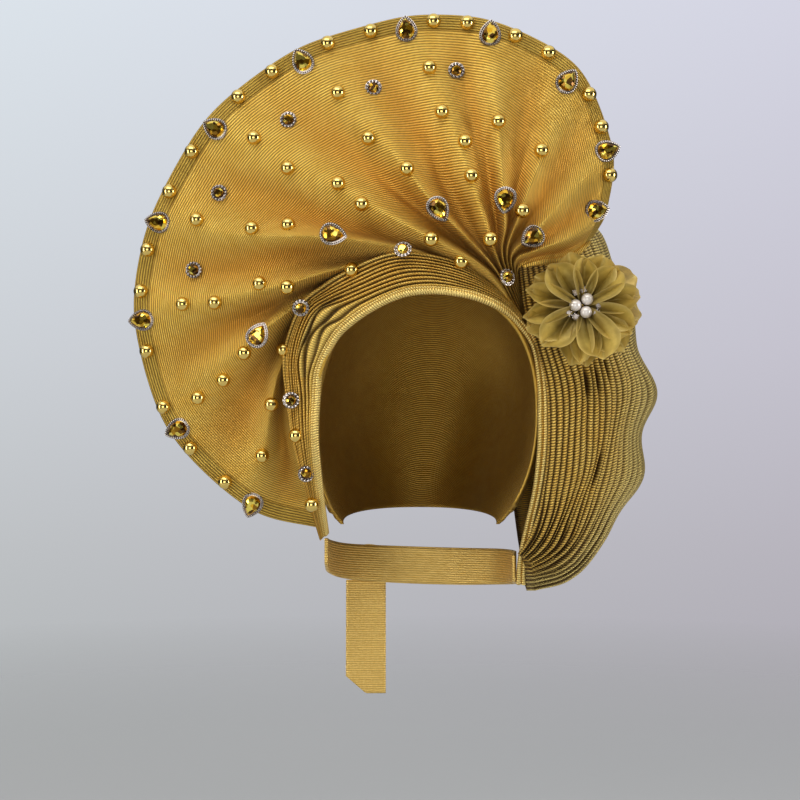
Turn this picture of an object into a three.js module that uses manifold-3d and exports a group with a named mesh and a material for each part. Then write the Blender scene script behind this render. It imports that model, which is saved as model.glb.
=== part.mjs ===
// A tied gele: one long ribbed cloth pleated round the brow, gathered at the right temple into a
// standing fan, and hung in narrow pleats over the right ear. Millimetres, +Z up, the face opening
// looks along -Y and +X is to the right as seen from in front. The origin is the top of the head
// hollow, on the inside of the cap.
import * as THREE from "three";
import { mergeVertices } from "three/addons/utils/BufferGeometryUtils.js";
import Module from "manifold-3d";

// Driving dimensions

const GAP = 0.35; // clearance between pieces that lie on each other
const HOLLOW = { halfWidth: 72.8, halfDepth: 97, halfHeight: 95, y: 5, z: -95, lean: 0.07, power: 2.3 };
const CAP = {
  wall: 2, pivotY: -18, pivotZ: -172, face: 18.7, nape: -86, ear: 16, fold: 1.2, folds: 5, arcs: 9,
  steps: 12, halvings: 40,
};
const FAN = {
  wall: 2, hemWidth: 11, hemWall: 2.8, columns: 4, rows: 6, crowding: 1.1, rootGap: 1, tuckRise: 20,
  middleDepth: 0.55,
};
const BROW = { ridges: 9, ridge: 1.8, wall: 2.4, bulge: 3, stations: 15 };
const ROLL = { depth: 4.4, sides: 6, stations: 24 };
const DRAPE = {
  ridges: 14, backRidges: 2, ridge: 2.2, wall: 2.4, stations: 10, roundness: 0.6, shoulder: 0.9,
};
const STRAP = {
  width: 26, wall: 2, steps: 20, endShare: 0.6, tailWidth: 28, tailLength: 79, tailCut: 12,
  tailLean: 4, tailShift: -3,
};
const KNOT = { x: -46, y: 80.9, z: -204, width: 32, depth: 16, height: 25, taper: 0.75, sides: 10 };
const FLOWER = {
  x: 86, z: -32.5, back: 34, front: 26, lobes: 5, wall: 1, cup: 13, cupPower: 1.4, lobeCup: 2,
  waist: 0.74, foot: 18, layer: 3.4,
};
const PETAL_LEVELS = [0.16, 0.55, 1]; // the rings of a petal layer, from its middle out
const PEARL = { radius: 3.75, spread: 4.6, turns: [180, 55, -65], rings: 5, sides: 10 };
const SPRIG = { stone: 1.6, spacing: 4.8, bar: 0.6, girdle: 1, height: 2.2, sides: 8 };
const DOME = {
  radius: 4, height: 3.7, shoulder: 0.78, shoulderHeight: 0.64, sink: 0.9, sides: 10, fromRim: 5.4,
};
const CUT = { sides: 8, tableShare: 0.55, wallShare: 0.8, pinch: 1.22, pinchPower: 0.8 };
const PEAR = { length: 12.4, width: 9, border: 1.7, girdle: 2, table: 4.2 };
const ROUND = { length: 7, width: 7, border: 1.7, girdle: 1.8, table: 3.4 };

// The stones' places are given as they are seen from in front, from this point, on the plane
// y = SIGHT.plane, and are carried along the line of sight to the cloth. A stone that would miss
// its cloth is moved in or out from the fan's middle until it lies on it, and margin further.
// A stone looks the way the cloth under it does, drawn towards the front by forward.
const SIGHT = {
  x: -25, y: -1000, z: -90, plane: -50, middleX: -40, middleZ: 0, mostPull: 12, margin: 1.5,
  forward: 0.6, samples: 8,
};
// A stone is set down from above on its cloth, felt for at turns round rings of these shares.
const PROBE = { shares: [0.3, 0.5, 0.7, 0.85, 1], turns: 18, above: 120, rest: 0.63 };

// One row for each fold line of the fan, from its lower left corner round to its right end.
// root is the place along the brow where the fold line starts, counted in rows of BROW_ROWS, and
// past its end up the tuck beside the drape. neck, bend and rim are [x, z] on the fold line, and y
// holds its depths at root, neck, bend and rim. bow pushes the line sideways between bend and rim;
// crest is the height of the fold and dip the depth of the valley that follows it.
const FOLDS = [
  { root: 3.75, neck: [-96, -85], bend: [-94, -109], rim: [-73, -174],
    y: [-33, -30, -26, -8], bow: 0, crest: 0, dip: 2 },
  { root: 4.1, neck: [-102, -75], bend: [-106, -93], rim: [-123, -159],
    y: [-34, -34, -33, -14], bow: -2, crest: 4, dip: 4 },
  { root: 6, neck: [-99, -39], bend: [-113, -50], rim: [-174, -108],
    y: [-42, -46, -44, -18], bow: 3, crest: 6, dip: 5 },
  { root: 7.9, neck: [-73, -13], bend: [-94, -19], rim: [-194, -38],
    y: [-58, -62, -58, -24], bow: 0, crest: 6, dip: 6 },
  { root: 9.6, neck: [-22, 1], bend: [-64, 8], rim: [-184, 23],
    y: [-70, -74, -70, -28], bow: -3, crest: 6, dip: 6 },
  { root: 13, neck: [28, -14], bend: [-6, 7], rim: [-146, 88],
    y: [-66, -78, -76, -34], bow: 0, crest: 6, dip: 6 },
  { root: 13.12, neck: [31, -10], bend: [-1, 24], rim: [-89, 130],
    y: [-66, -80, -76, -40], bow: 3, crest: 5, dip: 6 },
  { root: 13.26, neck: [34, -7], bend: [26, 17], rim: [-22, 149],
    y: [-66, -81, -77, -44], bow: 3, crest: 5, dip: 5 },
  { root: 13.4, neck: [36.5, -5], bend: [38, 17], rim: [32, 146],
    y: [-66, -82, -78, -46], bow: 0, crest: 4, dip: 4 },
  { root: 13.54, neck: [39, -4], bend: [46, 19], rim: [85, 117],
    y: [-66, -82, -76, -48], bow: 0, crest: 4, dip: 4 },
  { root: 13.68, neck: [41.5, -5], bend: [53, 8], rim: [107, 66],
    y: [-66, -82, -78, -48], bow: 0, crest: 4, dip: 4 },
  { root: 13.82, neck: [44, -7.5], bend: [55, -1], rim: [104, 29],
    y: [-66, -81, -80, -46], bow: 4, crest: 3, dip: 2 },
  { root: 13.96, neck: [46.5, -11], bend: [56, -6], rim: [97, 13],
    y: [-64, -78, -74, -38], bow: 5, crest: 0, dip: 0 },
];
const FOLD_LEVELS = [0, 0.12, 0.3, 0.65, 1]; // root, neck, bend, the bowed middle and rim
const FOLD_DEPTH = [0.25, 0.6, 1, 0.75, 0.3]; // share of crest and dip at those levels

// One row for each station along the edge that frames the face, from the left jaw over the brow to
// the right jaw. edge is the open edge and outer the far side of the brow pleats there, both
// [x, y, z]; roll is the width of the rolled edge.
const BROW_ROWS = [
  { edge: [-71, -12, -176], outer: [-76, -8, -178], roll: 3 },
  { edge: [-74, -36, -147], outer: [-83, -27, -149], roll: 3.4 },
  { edge: [-76, -47, -115], outer: [-92, -32, -116], roll: 3.6 },
  { edge: [-75, -47, -90], outer: [-97, -31, -87], roll: 3.6 },
  { edge: [-73, -51, -71], outer: [-98, -35, -59], roll: 3.6 },
  { edge: [-64, -58, -54], outer: [-87, -43, -30], roll: 3.6 },
  { edge: [-54, -65, -44], outer: [-71, -51, -17], roll: 3.6 },
  { edge: [-40, -71, -35], outer: [-53, -59, -8], roll: 3.6 },
  { edge: [-23, -75, -28], outer: [-32, -67, -0.5], roll: 3.6 },
  { edge: [-8, -77, -26], outer: [-13, -71, -0.5], roll: 3.6 },
  { edge: [6, -77, -27], outer: [9, -73, -6], roll: 3.6 },
  { edge: [21, -75, -30], outer: [26, -71, -16], roll: 3.6 },
  { edge: [36, -69, -36], outer: [40, -68, -27], roll: 3.6 },
  { edge: [46, -63, -44], outer: [49, -64, -38], roll: 3.6 },
  { edge: [56, -55, -58], outer: null, roll: 4 },
  { edge: [60, -50, -80], outer: null, roll: 5 },
  { edge: [60.5, -48, -100], outer: null, roll: 5.6 },
  { edge: [60.5, -44, -121], outer: null, roll: 5.6 },
  { edge: [58.5, -38, -145], outer: null, roll: 5 },
  { edge: [54.5, -30, -167], outer: null, roll: 4 },
  { edge: [50.5, -22, -189], outer: null, roll: 3.4 },
  { edge: [49.5, -14, -208], outer: null, roll: 3.2 },
];
const BROW_END = 13; // the brow pleats end at this row, under the first pleat of the drape

// One row for each section of the hanging drape, from the top down: its front line beside the face,
// its outermost line and its back line over the cap, each [x, y, z].
const DRAPE_ROWS = [
  { front: [50.35, -44, 5], outer: [83, -4, 27], back: [30, 30, 12] },
  { front: [49.85, -52, -3], outer: [103, -2, 20], back: [37, 48, 5] },
  { front: [50.35, -62, -18], outer: [114, 2, -6], back: [46, 62, -14] },
  { front: [52.35, -67, -36], outer: [123, 2, -30], back: [52, 76, -34] },
  { front: [59.35, -62, -56], outer: [133, 6, -57], back: [54, 84, -58] },
  { front: [66.35, -55, -81], outer: [140, 10, -85], back: [55, 88, -84] },
  { front: [67.85, -52, -109], outer: [137, 12, -111], back: [54, 87, -110] },
  { front: [66.85, -47, -134], outer: [132, 12, -139], back: [53, 80, -134] },
  { front: [63.85, -41, -156], outer: [120, 8, -166], back: [53, 64, -156] },
  { front: [60.85, -36, -171], outer: [104, 2, -193], back: [54, 44, -176] },
  { front: [57.85, -30, -181], outer: [82, -4, -208], back: [55, 22, -192] },
  { front: [54.85, -25, -188], outer: [59, -12, -213], back: [57, 2, -207] },
];

// Where the band behind the neck runs, [x, y, z], from the right jaw round to the left one.
const NAPE_ROUTE = [
  [47, -17, -198], [49.5, 16, -201], [42, 48, -204], [18, 68, -206], [-12, 75, -206],
  [-42, 69, -204], [-62, 48, -200], [-71, 20, -194], [-72, -6, -188],
];

// The pairs of small stones in the flower, from its middle.
const SPRIGS = [
  { x: -2, z: 8.6, turn: 20 }, { x: 8.8, z: -2.2, turn: 72 }, { x: -6.8, z: -5.9, turn: -27 },
];

// Crystals, x and z as seen from in front; turn is the way the point of a pear looks, in degrees
// from +X towards +Z.
const RIM_PEARS = [
  { x: -117.2, z: -155.2, turn: 250 }, { x: -163.1, z: -108.7, turn: 205 },
  { x: -185.4, z: -40.5, turn: 185 }, { x: -175.5, z: 20.3, turn: 170 },
  { x: -140.1, z: 79.2, turn: 150 }, { x: -86.2, z: 120.1, turn: 120 },
  { x: -21.1, z: 139.9, turn: 95 }, { x: 31, z: 137.5, turn: 85 },
  { x: 79.4, z: 107.7, turn: 55 }, { x: 103.5, z: 64.9, turn: 20 },
  { x: 96.8, z: 27.7, turn: 10 },
];
const INNER_PEARS = [
  { x: -65.1, z: 12.2, turn: 350 }, { x: -112.2, z: -49.2, turn: 60 },
  { x: -0.6, z: 27.1, turn: 300 }, { x: 40.3, z: 33.3, turn: 265 },
  { x: 55.2, z: 9.1, turn: 215 },
];
const VALLEY_ROUNDS = [
  { x: -152.5, z: -9.5 }, { x: -137, z: 38.2 }, { x: -94.2, z: 83.5 }, { x: -41.5, z: 103.3 },
  { x: 9.9, z: 113.9 },
];
const BROW_ROUNDS = [
  { x: -21.7, z: -2.7 }, { x: -86.2, z: -30.6 }, { x: 37.8, z: -15.1 }, { x: -94.2, z: -89.5 },
  { x: -84.3, z: -134.7 },
];

// Domes on the hem, by their places along the rim counted in fold lines.
const RIM_DOMES = [
  1.3, 1.72, 2.16, 2.68, 3.26, 3.72, 4.3, 4.68, 5.3, 5.68, 6.24, 6.64, 7.28, 7.7, 8.26, 8.64, 9.28,
  9.66, 10.3,
];
// The other domes, on the fan and the brow pleats, [x, z] as seen from in front.
const DOMES = [
  [-115.3, 72.3], [-94.2, 53.7], [-63.2, 43.8], [-48.4, 31.4], [-5.6, 9.7], [-63.2, 100.2],
  [-44, 72.3], [-20.5, 53.1], [-6.8, 115.7], [1.2, 88.5], [14.9, 69.8], [19.2, 48.8], [31.6, 9.7],
  [36, 82.3], [62.6, 64.3], [50.9, 27.1], [-150.7, 21.5], [-116.6, 15.9], [-94.2, 17.8],
  [-159.3, -30.6], [-139.5, -29.4], [-111.6, -18.2], [-150, -88.3], [-134.5, -77.1], [-121.5, -60.4],
  [-110.4, -124.2], [-104.8, -92.6], [-97.3, -58.5], [-94.9, -19.5], [-54.6, -9.5], [13, -3.9],
  [-89.3, -111.8], [-80.2, -154.5],
];

const GOLD_CLOTH = { color: 0xbe9440, metalness: 0.25, roughness: 0.5 };
const LIGHT_CLOTH = { color: 0xd8b768, metalness: 0.25, roughness: 0.5 };
const SHADE_CLOTH = { color: 0x8a5f22, metalness: 0.25, roughness: 0.5 };
const ORGANZA = { color: 0x968237, metalness: 0.1, roughness: 0.5 };
const IVORY = { color: 0xf2ecdf, metalness: 0, roughness: 0.25 };
const AMBER = { color: 0xc98a12, metalness: 0.1, roughness: 0.1 };
const SILVER = { color: 0xb9b7b0, metalness: 0.6, roughness: 0.2 };

const wasm = await Module();
wasm.setup();

// Small curve and surface tools

const vec = (p) => new THREE.Vector3(p[0], p[1], p[2]);
const mix = (a, b, t) => a + (b - a) * t;
const toRadians = THREE.MathUtils.degToRad;

// The value at t of a smooth curve through values (numbers or vectors) at rising levels.
function through(levels, values, t) {
  const last = levels.length - 1;
  let i = 0;
  while (i < last - 1 && t > levels[i + 1]) i++;
  const span = levels[i + 1] - levels[i];
  const s = (t - levels[i]) / span;
  const slope = (k) => {
    const a = Math.max(k - 1, 0);
    const b = Math.min(k + 1, last);
    return difference(values[b], values[a], span / (levels[b] - levels[a]));
  };
  const h = [
    2 * s ** 3 - 3 * s ** 2 + 1, s ** 3 - 2 * s ** 2 + s, 3 * s ** 2 - 2 * s ** 3, s ** 3 - s ** 2,
  ];
  return blend([values[i], slope(i), values[i + 1], slope(i + 1)], h);
}

function difference(b, a, scale) {
  return b.isVector3 ? b.clone().sub(a).multiplyScalar(scale) : (b - a) * scale;
}

function blend(values, weights) {
  if (!values[0].isVector3) return values.reduce((sum, v, i) => sum + v * weights[i], 0);
  return values.reduce((sum, v, i) => sum.addScaledVector(v, weights[i]), new THREE.Vector3());
}

// A closed body from a grid of points: rings[i][j], each ring a closed loop. The ends are closed by
// fans round their middles, or the last ring joins the first when the body is a ring itself.
// A tip, where given, is the point that the last ring closes to.
function loft(rings, tip) {
  const n = rings[0].length;
  const points = rings.flat().map((p) => p.clone());
  const faces = [];
  const quad = (a, b, c, d) => faces.push(a, b, c, a, c, d);
  for (let i = 0; i + 1 < rings.length; i++)
    for (let j = 0; j < n; j++) {
      const k = (j + 1) % n;
      quad(i * n + j, i * n + k, (i + 1) * n + k, (i + 1) * n + j);
    }
  const close = (ring, start, flip, end) => {
    const middle = ring.reduce((sum, p) => sum.add(p), new THREE.Vector3()).divideScalar(n);
    points.push(end ?? middle);
    for (let j = 0; j < n; j++) {
      const k = (j + 1) % n;
      if (flip) faces.push(points.length - 1, start + k, start + j);
      else faces.push(points.length - 1, start + j, start + k);
    }
  };
  close(rings[0], 0, true);
  close(rings.at(-1), (rings.length - 1) * n, false, tip);
  return bodyOf(points, faces);
}

// A closed wall between a front and a back grid of points, both front[i][j] and back[i][j].
function wall(front, back) {
  const rows = front.length;
  const n = front[0].length;
  const rings = front.map((line, i) => [...line, ...back[i].slice().reverse()]);
  const points = rings.flat().map((p) => p.clone());
  const m = 2 * n;
  const faces = [];
  const quad = (a, b, c, d) => faces.push(a, b, c, a, c, d);
  for (let i = 0; i + 1 < rows; i++)
    for (let j = 0; j < m; j++) {
      const k = (j + 1) % m;
      quad(i * m + j, i * m + k, (i + 1) * m + k, (i + 1) * m + j);
    }
  for (let j = 0; j + 1 < n; j++) {
    const a = m - 1 - j;
    const end = (rows - 1) * m;
    quad(j, a, a - 1, j + 1);
    quad(end + j, end + j + 1, end + a - 1, end + a);
  }
  return bodyOf(points, faces);
}

function bodyOf(points, faces) {
  const geometry = new THREE.BufferGeometry().setFromPoints(points);
  geometry.setIndex(faces);
  const merged = mergeVertices(geometry, 1e-3);
  merged.computeVertexNormals();
  return outward(merged);
}

// Turns a closed geometry so that its faces point out.
function outward(geometry) {
  const p = geometry.attributes.position;
  const index = geometry.index.array;
  const [a, b, c] = [new THREE.Vector3(), new THREE.Vector3(), new THREE.Vector3()];
  let volume = 0;
  for (let i = 0; i < index.length; i += 3) {
    a.fromBufferAttribute(p, index[i]);
    b.fromBufferAttribute(p, index[i + 1]);
    c.fromBufferAttribute(p, index[i + 2]);
    volume += a.dot(b.cross(c));
  }
  if (volume < 0)
    for (let i = 0; i < index.length; i += 3)
      [index[i + 1], index[i + 2]] = [index[i + 2], index[i + 1]];
  geometry.computeVertexNormals();
  return geometry;
}

// Geometry to solid and back, for joining.
function solidOf(geometry) {
  return new wasm.Manifold(new wasm.Mesh({
    numProp: 3,
    vertProperties: new Float32Array(geometry.attributes.position.array),
    triVerts: new Uint32Array(geometry.index.array),
  }));
}

function geometryOf(solid) {
  const made = solid.getMesh();
  const geometry = new THREE.BufferGeometry();
  geometry.setAttribute("position", new THREE.BufferAttribute(made.vertProperties, 3));
  geometry.setIndex(new THREE.BufferAttribute(made.triVerts, 1));
  geometry.computeVertexNormals();
  return geometry;
}

function joined(geometry, extras) {
  const solid = extras.reduce((sum, extra) => sum.add(solidOf(extra)), solidOf(geometry));
  return geometryOf(solid.simplify(0.05));
}

// Cap

// Half the width of the head hollow at a depth and height, swollen by extra all round.
function hollowWidthAt(y, z, extra) {
  const rest = 1
    - Math.abs((y - HOLLOW.y) / (HOLLOW.halfDepth + extra)) ** HOLLOW.power
    - Math.abs((z - HOLLOW.z) / (HOLLOW.halfHeight + extra)) ** HOLLOW.power;
  return (HOLLOW.halfWidth + extra) * Math.max(rest, 0) ** (1 / HOLLOW.power);
}

// The point of the cap's surface in the half plane at an angle round the jaw line; side runs from
// -1 at the left ear over the top to 1 at the right ear.
function capPoint(angle, side, extra) {
  const along = (r) => [CAP.pivotY - r * Math.sin(angle), CAP.pivotZ + r * Math.cos(angle)];
  let low = CAP.ear;
  let high = 2 * (HOLLOW.halfDepth + HOLLOW.halfHeight);
  for (let k = 0; k < CAP.halvings; k++) {
    const r = (low + high) / 2;
    if (hollowWidthAt(...along(r), extra) > 0) low = r;
    else high = r;
  }
  const r = mix(CAP.ear, low, Math.sin((1 - Math.abs(side)) * Math.PI / 2));
  const [y, z] = along(r);
  const width = hollowWidthAt(y, z, extra);
  return new THREE.Vector3(HOLLOW.lean * z + Math.sign(side) * width, y, z);
}

function makeCap() {
  const { arcs, steps } = CAP;
  const line = (i, extra) => {
    const t = i / (arcs - 1);
    const angle = toRadians(mix(CAP.face, CAP.nape, t));
    const wave = Math.sin(Math.PI * CAP.folds * t) ** 2 * Math.sin(Math.PI * t);
    const out = extra > 0 ? extra + CAP.fold * wave : 0;
    return Array.from({ length: steps + 1 }, (_, j) => capPoint(angle, (2 * j) / steps - 1, out));
  };
  const grid = (extra) => Array.from({ length: arcs }, (_, i) => line(i, extra));
  return wall(grid(CAP.wall), grid(0));
}

// Fan

// The neck, bend, bowed middle and rim of a fold line.
function foldLine(row) {
  const [bend, rim] = [new THREE.Vector2(...row.bend), new THREE.Vector2(...row.rim)];
  const side = rim.clone().sub(bend).normalize();
  const middle = bend.clone().lerp(rim, 0.5);
  const bowed = [middle.x + side.y * row.bow, middle.y - side.x * row.bow];
  const places = [row.neck, row.bend, bowed, row.rim];
  const depths = [row.y[1], row.y[2], mix(row.y[2], row.y[3], FAN.middleDepth), row.y[3]];
  return places.map((p, i) => new THREE.Vector3(p[0], depths[i], p[1]));
}

const foldLines = FOLDS.map(foldLine);
const foldNumbers = FOLDS.map((_, i) => i);

// Where the fan's sheet starts: just off the brow pleats, then up the tuck beside the drape.
function rootAt(u) {
  const i = Math.min(Math.floor(u), FOLDS.length - 2);
  const place = mix(FOLDS[i].root, FOLDS[i + 1].root, u - i);
  const depth = mix(FOLDS[i].y[0], FOLDS[i + 1].y[0], u - i);
  const s = Math.min(place, BROW_END);
  const root = outerAt(s).addScaledVector(browFrame(s).spread, FAN.rootGap);
  return new THREE.Vector3(root.x, depth, root.z + FAN.tuckRise * (place - s));
}

// The fan's sheet: u counts the fold lines, v runs from root to rim. Crests come forward, valleys
// go back.
function fanPoint(u, v, forward = 0) {
  const line = [0, 1, 2, 3].map((k) => through(foldNumbers, foldLines.map((fold) => fold[k]), u));
  const point = through(FOLD_LEVELS, [rootAt(u), ...line], v);
  const i = Math.min(Math.floor(u), FOLDS.length - 2);
  const t = u - i;
  const near = t < 0.5 ? FOLDS[i].crest : FOLDS[i + 1].crest;
  const toValley = Math.sin(Math.PI * Math.min(t, 1 - t));
  const lift = mix(near, -FOLDS[i].dip, toValley) * through(FOLD_LEVELS, FOLD_DEPTH, v);
  point.y -= lift + forward;
  return point;
}

// The v at which a fold line comes within a distance of the rim.
function levelFromRim(u, distance) {
  const rim = fanPoint(u, 1);
  const inner = FOLD_LEVELS.at(-2);
  const length = rim.distanceTo(fanPoint(u, inner)) / (1 - inner);
  return 1 - distance / length;
}

function fanColumns() {
  const count = (FOLDS.length - 1) * FAN.columns;
  return Array.from({ length: count + 1 }, (_, i) => i / FAN.columns);
}

function makeFan() {
  const grid = (forward) => fanColumns().map((u) => {
    const end = levelFromRim(u, FAN.hemWidth + GAP);
    return Array.from({ length: FAN.rows + 1 }, (_, j) =>
      fanPoint(u, end * (j / FAN.rows) ** FAN.crowding, forward));
  });
  return wall(grid(0), grid(-FAN.wall));
}

function makeHem() {
  const proud = (FAN.hemWall - FAN.wall) / 2;
  const grid = (forward) => fanColumns().map((u) => [
    fanPoint(u, levelFromRim(u, FAN.hemWidth), forward), fanPoint(u, 1, forward),
  ]);
  return wall(grid(proud), grid(proud - FAN.hemWall));
}

// Brow

const browNumbers = BROW_ROWS.map((_, i) => i);
const browEdges = BROW_ROWS.map((row) => vec(row.edge));
const browOuters = BROW_ROWS.slice(0, BROW_END + 1).map((row) => vec(row.outer));

const edgeAt = (s) => through(browNumbers, browEdges, s);
const outerAt = (s) => through(browNumbers.slice(0, BROW_END + 1), browOuters, s);
const rollWidthAt = (s) => through(browNumbers, BROW_ROWS.map((row) => row.roll), s);

// Away from the face in the plane of the opening, and away from the head.
function browFrame(s) {
  const ahead = edgeAt(Math.min(s + 0.05, BROW_ROWS.length - 1));
  const behind = edgeAt(Math.max(s - 0.05, 0));
  const along = ahead.sub(behind).normalize();
  const faceOut = new THREE.Vector3(0, -1, 0);
  const away = new THREE.Vector3().crossVectors(along, faceOut).normalize().negate();
  const spread = s <= BROW_END ? outerAt(s).sub(edgeAt(s)).normalize() : away;
  const front = new THREE.Vector3().crossVectors(spread, along).normalize();
  if (front.y > 0) front.negate();
  return { spread, front };
}

function makeRoll() {
  const rings = Array.from({ length: ROLL.stations + 1 }, (_, i) => {
    const s = (i / ROLL.stations) * (BROW_ROWS.length - 1);
    const { spread, front } = browFrame(s);
    const half = rollWidthAt(s) / 2;
    const middle = edgeAt(s).addScaledVector(spread, half);
    return Array.from({ length: ROLL.sides }, (_, k) => {
      const a = (2 * Math.PI * (k + 0.5)) / ROLL.sides;
      return middle.clone()
        .addScaledVector(spread, half * Math.cos(a))
        .addScaledVector(front, (ROLL.depth / 2) * Math.sin(a));
    });
  });
  return loft(rings);
}

function makeBrowPleats() {
  const rings = Array.from({ length: BROW.stations + 1 }, (_, i) => {
    const s = (i / BROW.stations) * BROW_END;
    const { spread, front } = browFrame(s);
    const inner = edgeAt(s).addScaledVector(spread, rollWidthAt(s) + 2 * GAP);
    const outer = outerAt(s);
    const at = (w, lift) => inner.clone().lerp(outer, w).addScaledVector(front, lift);
    const bulge = (w) => BROW.bulge * Math.sin(Math.PI * w);
    const steps = 2 * BROW.ridges;
    const face = Array.from({ length: steps + 1 }, (_, j) =>
      at(j / steps, bulge(j / steps) + (j % 2 ? BROW.ridge : 0)));
    const rear = [1, 2 / 3, 1 / 3, 0].map((w) => at(w, bulge(w) - BROW.wall));
    return [...face, ...rear];
  });
  return loft(rings);
}

// Drape

const drapeNumbers = DRAPE_ROWS.map((_, i) => i);
const drapeFronts = DRAPE_ROWS.map((row) => vec(row.front));
const drapeOuters = DRAPE_ROWS.map((row) => vec(row.outer));
const drapeBacks = DRAPE_ROWS.map((row) => vec(row.back));

// w runs from the front line (0) to the outermost line (1) and on to the back line (2).
function drapePoint(s, w) {
  const front = through(drapeNumbers, drapeFronts, s);
  const outer = through(drapeNumbers, drapeOuters, s);
  const back = through(drapeNumbers, drapeBacks, s);
  if (w <= 1) {
    const a = (w * Math.PI) / 2;
    const x = mix(front.x, outer.x, mix(w, Math.sin(a), DRAPE.roundness));
    const y = mix(outer.y, front.y, Math.cos(a) ** DRAPE.shoulder);
    return new THREE.Vector3(x, y, mix(front.z, outer.z, w));
  }
  const a = ((w - 1) * Math.PI) / 2;
  const x = mix(back.x, outer.x, Math.cos(a));
  const y = mix(outer.y, back.y, Math.sin(a));
  return new THREE.Vector3(x, y, mix(outer.z, back.z, w - 1));
}

function makeDrape() {
  const frontSteps = 2 * DRAPE.ridges;
  const backSteps = 2 * DRAPE.backRidges;
  const places = [
    ...Array.from({ length: frontSteps }, (_, j) => j / frontSteps),
    ...Array.from({ length: backSteps + 1 }, (_, j) => 1 + j / backSteps),
  ];
  const grid = (isFront) => Array.from({ length: DRAPE.stations + 1 }, (_, i) => {
    const s = (i / DRAPE.stations) * (DRAPE_ROWS.length - 1);
    return places.map((w, j) => {
      const ahead = drapePoint(s, Math.min(w + 0.02, 2));
      const behind = drapePoint(s, Math.max(w - 0.02, 0));
      const out = new THREE.Vector3(ahead.y - behind.y, behind.x - ahead.x, 0).normalize();
      const lift = isFront ? (j % 2 ? DRAPE.ridge : 0) : -DRAPE.wall;
      return drapePoint(s, w).addScaledVector(out, lift);
    });
  });
  return wall(grid(true), grid(false));
}

// Ties

function makeNapeBand() {
  const route = new THREE.CatmullRomCurve3(NAPE_ROUTE.map(vec), false, "centripetal");
  const grid = (out) => Array.from({ length: STRAP.steps + 1 }, (_, i) => {
    const t = i / STRAP.steps;
    const point = route.getPoint(t);
    const along = route.getTangent(t);
    const side = new THREE.Vector3(along.y, -along.x, 0).normalize();
    const half = (STRAP.width / 2) * mix(STRAP.endShare, 1, Math.sqrt(Math.sin(Math.PI * t)));
    return [1, -1].map((up) => point.clone().addScaledVector(side, out).add(vec([0, 0, up * half])));
  });
  return wall(grid(STRAP.wall), grid(0));
}

function makeKnot() {
  const rings = [-1, -0.6, 0, 0.6, 1].map((t) => {
    const size = Math.sqrt(1 - KNOT.taper * t * t);
    return Array.from({ length: KNOT.sides }, (_, k) => {
      const a = (2 * Math.PI * k) / KNOT.sides;
      return new THREE.Vector3(
        KNOT.x + (t * KNOT.width) / 2,
        KNOT.y + (size * KNOT.depth * Math.cos(a)) / 2,
        KNOT.z + (size * KNOT.height * Math.sin(a)) / 2,
      );
    });
  });
  return loft(rings);
}

// The hanging end, its lower left corner cut away.
function makeTail() {
  const left = KNOT.x - STRAP.tailWidth / 2 + STRAP.tailShift;
  const top = KNOT.z - KNOT.height / 2 - GAP;
  const end = top - STRAP.tailLength;
  const grid = (y) => [0, 0.3, 0.6, 1].map((t) => {
    const z = mix(top, end, t);
    const lean = y - STRAP.tailLean * t;
    const cut = t === 1 ? STRAP.tailCut : 0;
    return [[0, cut], [0.5, 0], [1, 0]].map(([share, up]) =>
      new THREE.Vector3(left + share * STRAP.tailWidth, lean, z + up));
  });
  return wall(grid(KNOT.y - STRAP.wall / 2), grid(KNOT.y + STRAP.wall / 2));
}

// Stones

// A faceted stone in its border: rings of [scale of the stone, border, height] round an outline.
function stone(size) {
  const pointed = size.length > size.width;
  const outline = (scale, border, z) => Array.from({ length: CUT.sides }, (_, k) => {
    const a = (2 * Math.PI * k) / CUT.sides;
    const pinch = pointed ? CUT.pinch * Math.sin(a / 2) ** CUT.pinchPower : 1;
    return new THREE.Vector3(
      (scale * size.length * Math.cos(a)) / 2 + border * Math.cos(a),
      (scale * size.width * Math.sin(a) * pinch) / 2 + border * Math.sin(a),
      z,
    );
  });
  return loft([
    outline(1, size.border, 0), outline(1, size.border, size.girdle * CUT.wallShare),
    outline(1, 0, size.girdle), outline(CUT.tableShare, 0, size.table),
  ]);
}

function dome() {
  const ring = (r, z) => Array.from({ length: DOME.sides }, (_, k) => {
    const a = (2 * Math.PI * k) / DOME.sides;
    return new THREE.Vector3(r * Math.cos(a), r * Math.sin(a), z);
  });
  const { radius, height, sink, shoulder, shoulderHeight } = DOME;
  const rings = [ring(radius, -sink), ring(radius * shoulder, height * shoulderHeight)];
  return loft(rings, new THREE.Vector3(0, 0, height));
}

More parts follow.
